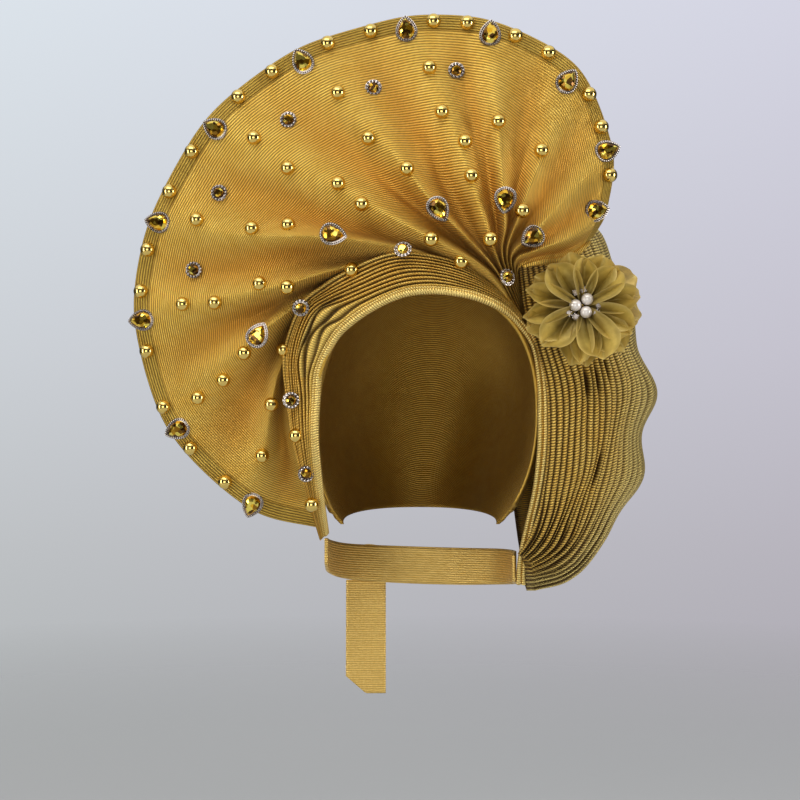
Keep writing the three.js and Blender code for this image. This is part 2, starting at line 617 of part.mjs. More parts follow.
// The cloth under a place: the point on the line of sight, and the mean facing round it.
function clothAt(meshes, x, z, radius) {
  const eye = vec([SIGHT.x, SIGHT.y, SIGHT.z]);
  const towards = (dx, dz) => vec([x + dx, SIGHT.plane, z + dz]).sub(eye).normalize();
  const caster = new THREE.Raycaster();
  const hit = (dx, dz) => {
    caster.set(eye, towards(dx, dz));
    return caster.intersectObjects(meshes, false)[0];
  };
  const inward = new THREE.Vector2(SIGHT.middleX - x, SIGHT.middleZ - z).normalize();
  const tries = Array.from({ length: 4 * SIGHT.mostPull }, (_, k) =>
    (k % 2 ? -1 : 1) * Math.ceil(k / 2) / 2);
  const first = tries.find((pull) => hit(inward.x * pull, inward.y * pull)) ?? 0;
  const pull = first + SIGHT.margin * Math.sign(first);
  const middle = hit(inward.x * pull, inward.y * pull);
  if (!middle) throw new Error(`no cloth under the stone at ${x}, ${z}`);
  const facing = new THREE.Vector3(0, -SIGHT.forward, 0);
  for (let k = 0; k < SIGHT.samples; k++) {
    const a = (2 * Math.PI * k) / SIGHT.samples;
    const [dx, dz] = [radius * Math.cos(a), radius * Math.sin(a)];
    const found = hit(inward.x * pull + dx, inward.y * pull + dz);
    if (found) facing.add(found.face.normal);
  }
  return { point: middle.point, facing: facing.normalize(), cloth: middle.object };
}

// Turns a stone's own frame (Z up, pointing along X) to lie on the cloth.
function layOn(place, turn) {
  const facing = place.facing;
  const pointing = vec([Math.cos(turn), 0, Math.sin(turn)]);
  const long = pointing.addScaledVector(facing, -pointing.dot(facing)).normalize();
  const wide = new THREE.Vector3().crossVectors(facing, long);
  return new THREE.Matrix4().makeBasis(long, wide, facing).setPosition(place.point);
}

// How far a stone has to be lifted off its place to clear the meshes. undersideAt gives how high its
// underside lies over its lowest point, at a distance from its middle.
function clearance(meshes, place, radius, undersideAt = () => 0) {
  const caster = new THREE.Raycaster();
  const { point, facing } = place;
  const side = new THREE.Vector3().crossVectors(facing, vec([0, 0, 1])).normalize();
  const up = new THREE.Vector3().crossVectors(side, facing);
  let most = -Infinity;
  for (const share of PROBE.shares)
    for (let k = 0; k < PROBE.turns; k++) {
      const a = (2 * Math.PI * k) / PROBE.turns;
      const start = point.clone().addScaledVector(facing, PROBE.above)
        .addScaledVector(side, radius * share * Math.cos(a))
        .addScaledVector(up, radius * share * Math.sin(a));
      caster.set(start, facing.clone().negate());
      const found = caster.intersectObjects(meshes, false)[0];
      if (found) most = Math.max(most, PROBE.above - found.distance - undersideAt(radius * share));
    }
  return most;
}

// Flower

// One layer of petals: a lobed, cupped disc whose middle reaches back to the cloth.
function petalLayer(radius, turn, middleY) {
  const around = FLOWER.lobes * 4;
  const cup = (FLOWER.cup * radius) / FLOWER.back;
  const at = (share, k, offset) => {
    const a = (2 * Math.PI * k) / around;
    const lobe = Math.abs(Math.cos((FLOWER.lobes * a) / 2));
    const r = radius * share * mix(1, mix(FLOWER.waist, 1, Math.sqrt(lobe)), share);
    const y = middleY - cup * share ** FLOWER.cupPower - FLOWER.lobeCup * share * lobe + offset;
    return vec([FLOWER.x + r * Math.cos(a + turn), y, FLOWER.z + r * Math.sin(a + turn)]);
  };
  const ring = (share, offset) => Array.from({ length: around }, (_, k) => at(share, k, offset));
  const front = PETAL_LEVELS.map((share) => ring(share, 0));
  const back = PETAL_LEVELS.slice().reverse().map((share) => ring(share, FLOWER.wall));
  return loft([...front, ...back]);
}

// Two small cut stones on one short bar.
function sprig() {
  const ring = (x, r, z) => Array.from({ length: SPRIG.sides }, (_, k) => {
    const a = (2 * Math.PI * k) / SPRIG.sides;
    return new THREE.Vector3(x + r * Math.cos(a), r * Math.sin(a), z);
  });
  const half = SPRIG.spacing / 2;
  const [left, right] = [-half, half].map((x) => loft([
    ring(x, SPRIG.stone, 0), ring(x, SPRIG.stone, SPRIG.girdle),
    ring(x, SPRIG.stone * CUT.tableShare, SPRIG.height),
  ]));
  const bar = new THREE.BoxGeometry(SPRIG.spacing, SPRIG.bar * 2, SPRIG.bar);
  bar.translate(0, 0, SPRIG.girdle / 2);
  bar.deleteAttribute("normal");
  bar.deleteAttribute("uv");
  return joined(mergeVertices(bar, 1e-3), [left, right]);
}

function pearl() {
  const { radius, rings, sides } = PEARL;
  const points = Array.from({ length: rings + 1 }, (_, i) => {
    const a = (Math.PI * i) / rings;
    return new THREE.Vector2(i % rings ? radius * Math.sin(a) : 0, -radius * Math.cos(a));
  });
  const geometry = new THREE.LatheGeometry(points, sides);
  geometry.deleteAttribute("normal");
  geometry.deleteAttribute("uv");
  return outward(mergeVertices(geometry, 1e-3));
}

// Assembly

const gele = new THREE.Group();

function meshOf(geometry, { color, metalness, roughness }) {
  const look = { color, metalness, roughness, side: THREE.DoubleSide };
  return new THREE.Mesh(geometry, new THREE.MeshStandardMaterial(look));
}

function add(name, geometry, look) {
  const mesh = meshOf(geometry, look);
  mesh.name = name;
  gele.add(mesh);
  return mesh;
}

function withDomes(geometry, places) {
  const domes = places.map((place) => dome().applyMatrix4(layOn(place, 0)));
  return joined(geometry, domes);
}

// The fan and the brow pleats, each with the domes that lie on it.
function domedCloths() {
  const cloths = [makeFan(), makeBrowPleats()].map((geometry) => meshOf(geometry, GOLD_CLOTH));
  const places = DOMES.map(([x, z]) => clothAt(cloths, x, z, DOME.radius));
  const on = (cloth) => places.filter((place) => place.cloth === cloth);
  return cloths.map((cloth) => withDomes(cloth.geometry, on(cloth)));
}

function hemWithDomes() {
  const proud = (FAN.hemWall - FAN.wall) / 2;
  return withDomes(makeHem(), RIM_DOMES.map((u) => {
    const point = fanPoint(u, levelFromRim(u, DOME.fromRim), proud);
    const along = fanPoint(u + 0.05, 1).sub(fanPoint(u - 0.05, 1));
    const inward = point.clone().sub(fanPoint(u, 1, proud));
    const facing = along.cross(inward).normalize();
    if (facing.y > 0) facing.negate();
    return { point, facing };
  }));
}

const [fanCloth, browCloth] = domedCloths();
add("cap", makeCap(), SHADE_CLOTH);
add("brow_roll", makeRoll(), LIGHT_CLOTH);
const browPleats = add("brow_pleats", browCloth, GOLD_CLOTH);
const fan = add("fan", fanCloth, GOLD_CLOTH);
const hem = add("fan_hem", hemWithDomes(), GOLD_CLOTH);
const drape = add("side_pleats", makeDrape(), GOLD_CLOTH);
add("nape_band", makeNapeBand(), GOLD_CLOTH);
add("tie_knot", makeKnot(), GOLD_CLOTH);
add("tie_tail", makeTail(), GOLD_CLOTH);

// A crystal lies on the highest cloth or dome under it.
function addStone(name, size, { x, z, turn = 0 }, cloths) {
  const reach = size.length / 2 + size.border;
  const place = clothAt(cloths, x, z, reach);
  const lift = clearance(cloths, place, reach + GAP);
  place.point.addScaledVector(place.facing, Math.max(lift, 0) + PROBE.rest);
  add(name, stone(size).applyMatrix4(layOn(place, toRadians(turn))), AMBER);
}

const fanCloths = [fan, hem, browPleats];
RIM_PEARS.forEach((row, i) => addStone(`rim_pear_${i + 1}`, PEAR, row, fanCloths));
INNER_PEARS.forEach((row, i) => addStone(`inner_pear_${i + 1}`, PEAR, row, fanCloths));
VALLEY_ROUNDS.forEach((row, i) => addStone(`valley_round_${i + 1}`, ROUND, row, fanCloths));
BROW_ROUNDS.forEach((row, i) => addStone(`brow_round_${i + 1}`, ROUND, row, fanCloths));

// The y of the rearmost point of a piece that rests on the front of others, within a radius.
function frontOf(meshes, x, z, radius, undersideAt) {
  const place = { point: vec([x, 0, z]), facing: vec([0, -1, 0]) };
  return -clearance(meshes, place, radius, undersideAt) - GAP;
}

const petalUnderside = (r) =>
  FLOWER.cup * (r / FLOWER.back) ** FLOWER.cupPower + (FLOWER.lobeCup * r) / FLOWER.back;
const seatY = frontOf([drape], FLOWER.x, FLOWER.z, FLOWER.foot, petalUnderside);
const backY = seatY - FLOWER.wall;
const frontY = backY - FLOWER.layer;
add("flower_back", petalLayer(FLOWER.back, 0, backY), ORGANZA);
const frontPetals = add("flower_front", petalLayer(FLOWER.front, Math.PI / FLOWER.lobes, frontY), ORGANZA);

const pearlUnderside = (r) => PEARL.radius - Math.sqrt(PEARL.radius ** 2 - r ** 2);
PEARL.turns.forEach((turn, i) => {
  const x = FLOWER.x + PEARL.spread * Math.cos(toRadians(turn));
  const z = FLOWER.z + PEARL.spread * Math.sin(toRadians(turn));
  const y = frontOf([frontPetals], x, z, PEARL.radius, pearlUnderside) - PEARL.radius;
  add(`pearl_${i + 1}`, pearl(), IVORY).position.set(x, y, z);
});

SPRIGS.forEach((row, i) => {
  const [x, z] = [FLOWER.x + row.x, FLOWER.z + row.z];
  const turn = toRadians(row.turn);
  const [dx, dz] = [Math.cos(turn), Math.sin(turn)].map((share) => (share * SPRIG.spacing) / 2);
  const ends = [1, -1].map((way) =>
    frontOf([frontPetals], x + way * dx, z + way * dz, SPRIG.stone));
  const place = { point: vec([x, Math.min(...ends), z]), facing: vec([0, -1, 0]) };
  add(`sprig_${i + 1}`, sprig().applyMatrix4(layOn(place, turn)), SILVER);
});

export default gele;
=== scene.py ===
import math

import bpy
import numpy as np
from mathutils import Matrix, Vector
from mathutils.bvhtree import BVHTree


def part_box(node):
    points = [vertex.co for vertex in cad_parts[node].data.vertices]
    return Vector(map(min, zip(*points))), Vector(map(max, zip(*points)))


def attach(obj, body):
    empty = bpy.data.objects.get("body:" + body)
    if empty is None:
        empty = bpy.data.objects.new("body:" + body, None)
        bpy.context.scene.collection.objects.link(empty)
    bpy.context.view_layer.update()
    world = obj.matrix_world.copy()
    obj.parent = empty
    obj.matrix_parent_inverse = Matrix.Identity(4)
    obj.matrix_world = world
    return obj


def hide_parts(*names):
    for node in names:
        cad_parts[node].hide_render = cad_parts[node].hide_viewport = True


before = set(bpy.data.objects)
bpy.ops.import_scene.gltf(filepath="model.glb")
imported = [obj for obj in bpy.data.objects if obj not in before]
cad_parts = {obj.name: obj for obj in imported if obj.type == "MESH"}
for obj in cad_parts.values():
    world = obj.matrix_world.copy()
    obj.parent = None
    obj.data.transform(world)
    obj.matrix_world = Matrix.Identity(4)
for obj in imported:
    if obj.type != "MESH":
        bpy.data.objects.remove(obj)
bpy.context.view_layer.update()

MM = 0.001

# The head tie is one long ribbed satin cloth, shown tied as it is worn. It is seen level and straight
# on, from a metre in front and a little to the left of the opening's middle.
EYE = Vector((-0.025, -1.0, -0.09))
camera = bpy.data.objects.new("camera", bpy.data.cameras.new("camera"))
bpy.context.scene.collection.objects.link(camera)
camera.data.lens = 68.94
camera.data.sensor_width = 36
camera.data.clip_start = 0.05
camera.location = EYE
camera.rotation_euler = (math.radians(90), 0, 0)
bpy.context.scene.camera = camera

# Four soft boxes light it: one above, one at each side and one far in front. A row gives a box's
# place, the point that it looks at, its width and height, its power and its colour.
LIGHTS = dict(
    key_light=((-0.3, -0.75, 1.0), (-0.03, 0, -0.02), (1.2, 0.6), 6, (1, 0.98, 0.95)),
    left_light=((-1.3, -0.7, -0.05), (-0.03, 0, -0.12), (0.4, 1.0), 6.5, (1, 0.985, 0.96)),
    right_light=((1.4, -0.6, 0.0), (0.1, 0, -0.12), (0.4, 0.8), 9, (1, 0.985, 0.97)),
    front_light=((-0.2, -1.7, -0.1), (-0.02, 0, -0.12), (0.9, 0.7), 5, (1, 0.985, 0.96)),
)
for name, (place, target, size, power, colour) in LIGHTS.items():
    lamp = bpy.data.lights.new(name, "AREA")
    lamp.shape = "RECTANGLE"
    lamp.size, lamp.size_y = size
    lamp.energy = power
    lamp.color = colour
    holder = bpy.data.objects.new(name, lamp)
    holder.location = place
    aim = Vector(target) - Vector(place)
    holder.rotation_euler = aim.to_track_quat("-Z", "Y").to_euler()
    bpy.context.scene.collection.objects.link(holder)
bpy.context.scene.view_settings.view_transform = "Standard"

# The room that the polished domes mirror is bright above, grey below and dark at eye level, with a
# jagged edge. Seen straight it is a plain pale wall: bluish at the left, lilac at the right, greyer
# low down.
MIRRORED = [(0, (0.55, 0.53, 0.5)), (0.22, (0.5, 0.49, 0.48)), (0.26, (0.07, 0.068, 0.066)),
            (0.67, (0.06, 0.059, 0.058)), (0.71, (0.9, 0.89, 0.88)), (1, (1, 1, 1))]
PALE_WALL = [(0.1, (0.44, 0.46, 0.465)), (0.35, (0.54, 0.56, 0.58)), (0.55, (0.63, 0.66, 0.7)),
             (0.9, (0.75, 0.81, 0.87))]
LILAC = (0.93, 0.865, 0.93, 1)


# Joins the nodes of the room and of each material. A constant goes straight on its socket.
class Graph:
    def __init__(self, owner):
        owner.use_nodes = True
        self.owner = owner
        self.tree = owner.node_tree

    def put(self, socket, given):
        if isinstance(given, bpy.types.NodeSocket):
            self.tree.links.new(given, socket)
        else:
            socket.default_value = given

    def node(self, kind, inputs=(), **settings):
        made = self.tree.nodes.new(kind)
        for key, setting in settings.items():
            setattr(made, key, setting)
        for key, given in dict(inputs).items():
            self.put(made.inputs[key], given)
        return made

    def noise(self, **inputs):
        return self.node("ShaderNodeTexNoise", inputs).outputs["Fac"]

    def mesh_value(self, name):
        return self.node("ShaderNodeAttribute", attribute_name=name).outputs["Fac"]

    def value(self, operation, *given):
        made = self.node("ShaderNodeMath", operation=operation)
        for i, part in enumerate(given):
            self.put(made.inputs[i], part)
        return made.outputs[0]

    def blend(self, share, low, high, kind="MIX"):
        made = self.node("ShaderNodeMix", data_type="RGBA", blend_type=kind)
        self.put(made.inputs["Factor"], share)
        self.put(made.inputs["A"], low)
        self.put(made.inputs["B"], high)
        return made.outputs["Result"]

    def ramp(self, share, stops):
        made = self.node("ShaderNodeValToRGB", {"Fac": share})
        elements = made.color_ramp.elements
        for place, colour in stops[1:-1]:
            elements.new(place).color = (*colour, 1)
        for end in (0, -1):
            elements[end].position = stops[end][0]
            elements[end].color = (*stops[end][1], 1)
        return made.outputs["Color"]

    def finish(self, **inputs):
        surface = self.tree.nodes["Principled BSDF"]
        for key, given in inputs.items():
            self.put(surface.inputs[key.replace("_", " ")], given)
        return self.owner


world = bpy.data.worlds.new("room")
bpy.context.scene.world = world
room = Graph(world)
direction = room.node("ShaderNodeTexCoord").outputs["Generated"]
toward = room.node("ShaderNodeSeparateXYZ", {"Vector": direction})
jagged = room.value("MULTIPLY_ADD", room.noise(Vector=direction, Scale=6.0), 1.5, toward.outputs["Z"])
mirrored = room.ramp(room.value("MULTIPLY_ADD", jagged, 0.34, 0.245), MIRRORED)
wall = room.ramp(room.value("MULTIPLY_ADD", toward.outputs["Z"], 1.6, 0.5), PALE_WALL)
rightward = room.value("MULTIPLY_ADD", toward.outputs["X"], 2.0, 0.5)
wall = room.blend(rightward, wall, room.blend(1.0, wall, LILAC, "MULTIPLY"))
straight = room.node("ShaderNodeLightPath").outputs["Is Camera Ray"]
room_light = world.node_tree.nodes["Background"]
room.put(room_light.inputs["Color"], room.blend(straight, mirrored, wall))
room_light.inputs["Strength"].default_value = 0.95

# The floor is plain pale paper, well below the hanging end, that fades into the wall.
FLOOR = dict(below=0.62, radius=3.0, sides=64, fade=[(0.35, (1, 1, 1)), (0.95, (0, 0, 0))])
rim = [(FLOOR["radius"] * math.cos(a), FLOOR["radius"] * math.sin(a), -FLOOR["below"])
       for a in np.linspace(0, 2 * math.pi, FLOOR["sides"], endpoint=False)]
floor_mesh = bpy.data.meshes.new("floor")
floor_mesh.from_pydata(rim, [], [list(range(FLOOR["sides"]))])
floor = bpy.data.objects.new("floor", floor_mesh)
bpy.context.scene.collection.objects.link(floor)
paper = Graph(bpy.data.materials.new("pale_paper"))
spot = paper.node("ShaderNodeTexCoord").outputs["Object"]
mottle = paper.noise(Vector=spot, Scale=1.4, Detail=1.0)
tint = paper.blend(mottle, (0.5, 0.52, 0.53, 1), (0.54, 0.55, 0.56, 1))
far = paper.node("ShaderNodeVectorMath", {0: spot}, operation="LENGTH").outputs["Value"]
fade = paper.ramp(paper.value("DIVIDE", far, FLOOR["radius"]), FLOOR["fade"])
floor_mesh.materials.append(paper.finish(Base_Color=tint, Roughness=0.9, Alpha=fade))

# The cap is the first wrap of the cloth: one layer of ribbed satin laid flat over the crown and the
# back. Its edge is hidden behind the pleats of the brow, and it stays open in front and below.
# HOLLOW is the rounded space inside it, and the cap's edges are angles seen from a pivot low down.
HOLLOW = dict(half_width=72.8, half_depth=97, half_height=95, y=5, z=-95, lean=0.07, power=2.3)
CAP = dict(wall=1.6, gap=0.4, pivot_y=-18, pivot_z=-172, front_edge=18.7, back_edge=-86, pole=16,
           farthest=400.0, halvings=34, wave=1.2, waves=5, crease=0.6, flare=5.5, flare_share=0.06,
           rows=91, columns=97, pitch=1.6)
SATIN = dict(slub=0.35, wander=0.35, crown=0.55, threads=14.0, thread_height=0.12, cloud=24.0,
             painted_groove_shade=0.92, bump=0.9, roughness=0.36, dull=0.25, metallic=0.74)


# Gold satin: close ribs of shiny warp over dull weft, with painted shade darkening the groove between
# each two ribs. The rib number comes from the weave map's x, so that the ribs follow the cloth through
# its folds; y runs along the rib in millimetres. Two values on the mesh give painted shade, strongest
# deep in a fold's groove, and painted light: how much of the glow colour the cloth takes, as warm
# bounce light in the fan's valleys and as highlight on the brow and the drape.
def gold_satin(name, light, mid, groove, rib_shade, rib_height, painted_glow=(0.74, 0.32, 0.03)):
    g = Graph(bpy.data.materials.new(name))
    weave = g.node("ShaderNodeUVMap", uv_map="weave").outputs["UV"]
    split = g.node("ShaderNodeSeparateXYZ", {"Vector": weave})
    slub = g.noise(Vector=weave, Scale=SATIN["slub"], Detail=3.0)
    wander = g.value("MULTIPLY", slub, SATIN["wander"])
    turn = g.value("MULTIPLY", g.value("ADD", split.outputs["X"], wander), 2 * math.pi)
    rib = g.value("MULTIPLY_ADD", g.value("SINE", turn), 0.5, 0.5)
    crown = g.value("POWER", rib, SATIN["crown"])
    twist = g.value("MULTIPLY", split.outputs["Y"], SATIN["threads"])
    thread = g.value("MULTIPLY_ADD", g.value("SINE", twist), 0.5, 0.5)
    cloud = g.noise(Scale=SATIN["cloud"], Detail=4.0, Roughness=0.6)
    tone = g.ramp(cloud, [(0.3, mid), (0.7, light)])
    # Painted shade: the groove between each two ribs takes the groove colour.
    rib_shade_share = g.value("MULTIPLY", g.value("SUBTRACT", 1.0, crown), rib_shade)
    # Painted light: the mesh's painted light value blends in the glow colour.
    painted_lit = g.blend(g.mesh_value("painted_light"), tone, (*painted_glow, 1))
    ribbed = g.blend(rib_shade_share, painted_lit, (*groove, 1))
    # Painted shade: the mesh's depth value darkens the cloth towards the groove colour.
    painted_groove_shade = g.blend(g.value("MULTIPLY", g.mesh_value("depth"), SATIN["painted_groove_shade"]), ribbed, (*groove, 1))
    height = g.value("MULTIPLY_ADD", thread, SATIN["thread_height"], crown)
    bump = g.node("ShaderNodeBump", {"Height": height, "Strength": SATIN["bump"],
                                     "Distance": rib_height * MM})
    dull = g.value("MULTIPLY_ADD", rib_shade_share, SATIN["dull"], SATIN["roughness"])
    return g.finish(Base_Color=painted_groove_shade, Roughness=dull, Metallic=SATIN["metallic"],
                    Normal=bump.outputs["Normal"], Sheen_Weight=0.08, Sheen_Roughness=0.4,
                    Sheen_Tint=(1, 0.8, 0.42, 1))


# One visible piece, its points in metres. The weave map, the painted shade (depth) and the painted
# light hold a value for each point, and chosen a material's number for each face.
def mesh_piece(name, points, faces, materials, uv=None, depth=None, smooth=True,
               chosen=None, painted_light=None):
    mesh = bpy.data.meshes.new(name)
    mesh.from_pydata(np.asarray(points).reshape(-1, 3).tolist(), [], [list(f) for f in faces])
    for material in materials:
        mesh.materials.append(material)
    mesh.polygons.foreach_set("use_smooth", [smooth] * len(mesh.polygons))
    if chosen is not None:
        mesh.polygons.foreach_set("material_index", chosen)
    if uv is not None:
        corner = np.empty(len(mesh.loops), np.int32)
        mesh.loops.foreach_get("vertex_index", corner)
        layer = mesh.uv_layers.new(name="weave")
        layer.data.foreach_set("uv", np.asarray(uv, np.float32).reshape(-1, 2)[corner].ravel())
    for key, given in (("depth", depth), ("painted_light", painted_light)):
        if given is not None:
            layer = mesh.attributes.new(key, "FLOAT", "POINT")
            layer.data.foreach_set("value", np.asarray(given, np.float32).ravel())
    mesh.update()
    made = bpy.data.objects.new(name, mesh)
    bpy.context.scene.collection.objects.link(made)
    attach(made, "root")
    return made


# The numbers of a grid's points, and the four-cornered faces between them.
def numbered(rows, columns):
    return np.arange(rows * columns).reshape(rows, columns)


def quads(at):
    return np.stack([at[:-1, :-1], at[:-1, 1:], at[1:, 1:], at[1:, :-1]], -1).reshape(-1, 4)


# A cloth wall between two grids of points in millimetres, joined round its edges.
def cloth_wall(name, front, back, uv, material, depth=None, painted_light=None):
    front, back = np.asarray(front), np.asarray(back)
    at = numbered(*front.shape[:2])
    face = quads(at)
    edge = np.concatenate([at[0], at[1:, -1], at[-1, -2::-1], at[-2::-1, 0]])
    rim = np.stack([edge[1:], edge[:-1], edge[:-1] + at.size, edge[1:] + at.size], -1)
    faces = np.concatenate([face, face[:, ::-1] + at.size, rim])
    points = np.concatenate([front.reshape(-1, 3), back.reshape(-1, 3)]) * MM
    pairs = np.concatenate([np.asarray(uv).reshape(-1, 2)] * 2)
    painted_shade_values, painted_lit = [None if given is None else np.tile(np.ravel(given), 2) for given in (depth, painted_light)]
    made = mesh_piece(name, points, faces.tolist(), [material], pairs, painted_shade_values, painted_light=painted_lit)
    if made.data.polygons[0].normal.dot(Vector(front[0, 0] - back[0, 0])) < 0:
        made.data.flip_normals()
    return made


# How far along each line of a grid its points lie.
def distances(points, axis):
    steps = np.linalg.norm(np.diff(points, axis=axis), axis=-1)
    start = np.zeros_like(np.take(steps, [0], axis=axis))
    return np.concatenate([start, np.cumsum(steps, axis=axis)], axis=axis)


# The weave map of a grid whose ribs follow one another along an axis, so many millimetres apart.
def weave_map(points, axis, pitch):
    return np.stack([distances(points, axis) / pitch, distances(points, 1 - axis)], -1)


def mix(a, b, t):
    return a + (b - a) * t


# Half the width of the hollow at y, z, when it is grown all round by extra.
def hollow_width(y, z, extra):
    power = HOLLOW["power"]
    rest = (1 - np.abs((y - HOLLOW["y"]) / (HOLLOW["half_depth"] + extra)) ** power
            - np.abs((z - HOLLOW["z"]) / (HOLLOW["half_height"] + extra)) ** power)
    return (HOLLOW["half_width"] + extra) * np.maximum(rest, 0) ** (1 / power)


# Points of a surface round the hollow, from the cap's front edge to its back edge. How far out from
# the pivot each direction ends is found by halving.
def cap_grid(extra, wave):
    t, side = np.meshgrid(np.linspace(0, 1, CAP["rows"]), np.linspace(-1, 1, CAP["columns"]),
                          indexing="ij")
    angle = np.radians(mix(CAP["front_edge"], CAP["back_edge"], t))
    fading = np.sin(math.pi * t)
    out = extra + wave * np.sin(math.pi * CAP["waves"] * t) ** 2 * fading
    out = out + wave * CAP["crease"] * np.sin(23 * t + 4 * side + 2 * np.sin(5 * side)) ** 2 * fading
    out = out + CAP["flare"] * np.clip(1 - t / CAP["flare_share"], 0, 1) * np.clip(-6 * side, 0, 1)
    low, high = np.full(t.shape, float(CAP["pole"])), np.full(t.shape, CAP["farthest"])
    for _ in range(CAP["halvings"]):
        r = (low + high) / 2
        y, z = CAP["pivot_y"] - r * np.sin(angle), CAP["pivot_z"] + r * np.cos(angle)
        inside = hollow_width(y, z, out) > 0
        low, high = np.where(inside, r, low), np.where(inside, high, r)
    r = mix(CAP["pole"], low, np.sin((1 - np.abs(side)) * math.pi / 2))
    y, z = CAP["pivot_y"] - r * np.sin(angle), CAP["pivot_z"] + r * np.cos(angle)
    return np.stack([HOLLOW["lean"] * z + np.sign(side) * hollow_width(y, z, out), y, z], -1)


shade_satin = gold_satin("shade_satin", (0.66, 0.41, 0.07), (0.58, 0.34, 0.05), (0.1, 0.04, 0.004),
                         0.85, 0.45)
cap_outside = cap_grid(CAP["wall"] + CAP["gap"], CAP["wave"])
cap = cloth_wall("cap_cloth", cap_outside, cap_grid(CAP["gap"], 0), weave_map(cap_outside, 0, CAP["pitch"]),
                 shade_satin)
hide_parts("cap")

# The brow is the cloth gathered along its length into ten narrow round pleats, laid over the cap's
# edge one above the next, over the top and down the left side. At the upper left corner the inner
# ones are broad and part from each other.
# A row is a station, from the lower left end over the top to the lower right end: the open edge, the
# far side of the pleats, and the width of the rolled edge. The last rows have the rolled edge alone.
BROW_ROWS = [
    ((-71, -12, -176), (-76, -8, -178), 3), ((-74, -36, -147), (-83, -27, -149), 3.4),
    ((-76, -47, -115), (-92, -32, -116), 3.6), ((-75, -47, -90), (-97, -31, -87), 3.6),
    ((-73, -51, -71), (-98, -35, -59), 3.6), ((-64, -58, -54), (-87, -43, -30), 3.6),
    ((-54, -65, -44), (-71, -51, -17), 3.6), ((-40, -71, -35), (-53, -59, -8), 3.6),
    ((-23, -75, -28), (-32, -67, -0.5), 3.6), ((-8, -77, -26), (-13, -71, -0.5), 3.6),
    ((6, -77, -27), (9, -73, -6), 3.6), ((21, -75, -30), (26, -71, -16), 3.6),
    ((36, -69, -36), (40, -68, -27), 3.6), ((46, -63, -44), (49, -64, -38), 3.6),
    ((56, -55, -58), None, 4), ((60, -50, -80), None, 5), ((60.5, -48, -100), None, 5.6),
    ((60.5, -44, -121), None, 5.6), ((58.5, -38, -145), None, 5), ((54.5, -30, -167), None, 4),
    ((50.5, -22, -189), None, 3.4), ((49.5, -14, -208), None, 3.2),
]
BROW_END = 13
BROW_LAST = len(BROW_ROWS) - 1
BROW = dict(ridges=10, ridge=2.7, wall=2.4, bulge=2.6, gap=0.4, stations=300, steps=9, pitch=1.7,
            corner=4.9, corner_reach=1.25, top=7.5, top_reach=3.2)
# The grooves across the pleats, from the open edge to the far side: along most of the brow, and at
# the upper left corner.
EVEN = np.append(np.linspace(0, 0.86, BROW["ridges"]), 1)
BROAD = np.array([0, 0.17, 0.35, 0.52, 0.59, 0.65, 0.71, 0.76, 0.81, 0.87, 1])
# Where two folds part: the station, the groove, and how far along and across the gap reaches.
PARTED = [(4.75, 3, 0.45, 0.045), (5.5, 2, 0.6, 0.04), (3.9, 2, 0.45, 0.035), (5.9, 4, 0.5, 0.03)]


# A smooth curve through values at rising levels, at each of the places t.
def through(levels, values, t):
    levels = np.asarray(levels, float)
    values = np.asarray(values, float)
    t = np.atleast_1d(np.asarray(t, float))
    last = len(levels) - 1
    i = np.clip(np.searchsorted(levels, t, side="left") - 1, 0, last - 1)
    span = levels[i + 1] - levels[i]
    s = (t - levels[i]) / span
    shape = (-1,) + (1,) * (values.ndim - 1)

    def slope(k):
        a, b = np.maximum(k - 1, 0), np.minimum(k + 1, last)
        return (values[b] - values[a]) * (span / (levels[b] - levels[a])).reshape(shape)

    h = [2 * s**3 - 3 * s**2 + 1, s**3 - 2 * s**2 + s, 3 * s**2 - 2 * s**3, s**3 - s**2]
    parts = [values[i], slope(i), values[i + 1], slope(i + 1)]
    return sum(part * weight.reshape(shape) for part, weight in zip(parts, h))


brow_edges, brow_outers, brow_rolls = zip(*BROW_ROWS)


def edge_at(s):
    return through(np.arange(BROW_LAST + 1), brow_edges, s)


def outer_at(s):
    return through(np.arange(BROW_END + 1), brow_outers[:BROW_END + 1], s)


def roll_at(s):
    return through(np.arange(BROW_LAST + 1), brow_rolls, s)


def unit(v):
    return v / np.linalg.norm(v, axis=-1, keepdims=True)


# The direction across the pleats and the direction that they bulge in, at the stations s.
def brow_frame(s):
    s = np.atleast_1d(s)
    ahead, behind = edge_at(np.minimum(s + 0.05, BROW_LAST)), edge_at(np.maximum(s - 0.05, 0))
    along = unit(ahead - behind)
    away = -unit(np.cross(along, [0, -1, 0]))
    pleated = unit(outer_at(np.minimum(s, BROW_END)) - edge_at(s))
    spread = np.where((s <= BROW_END)[:, None], pleated, away)
    front = unit(np.cross(spread, along))
    return spread, np.where(front[:, 1:2] > 0, -front, front)


# Places across the cloth, evenly spread between each two grooves.
def across_grooves(bounds, steps):
    spans = [np.linspace(a, b, steps, endpoint=False) for a, b in zip(bounds, bounds[1:])]
    return np.concatenate(spans + [bounds[-1:]])


# Round ridges across w: the rise is 0 in a groove and 1 on a ridge.
def ridges(bounds, w, fullness):
    i = np.clip(np.searchsorted(bounds, w, side="right") - 1, 0, len(bounds) - 2)
    t = (w - bounds[i]) / (bounds[i + 1] - bounds[i])
    return np.maximum(np.sin(math.pi * np.clip(t, 0, 1)), 0) ** fullness, i


# How far two folds part at s, w: 0 where they are close together, 1 in the middle of a gap.
def parting(s, w, bounds, gaps):
    return sum(np.exp(-((s - place) / along) ** 2 - ((w - bounds[groove]) / wide) ** 2)
               for place, groove, along, wide in gaps)


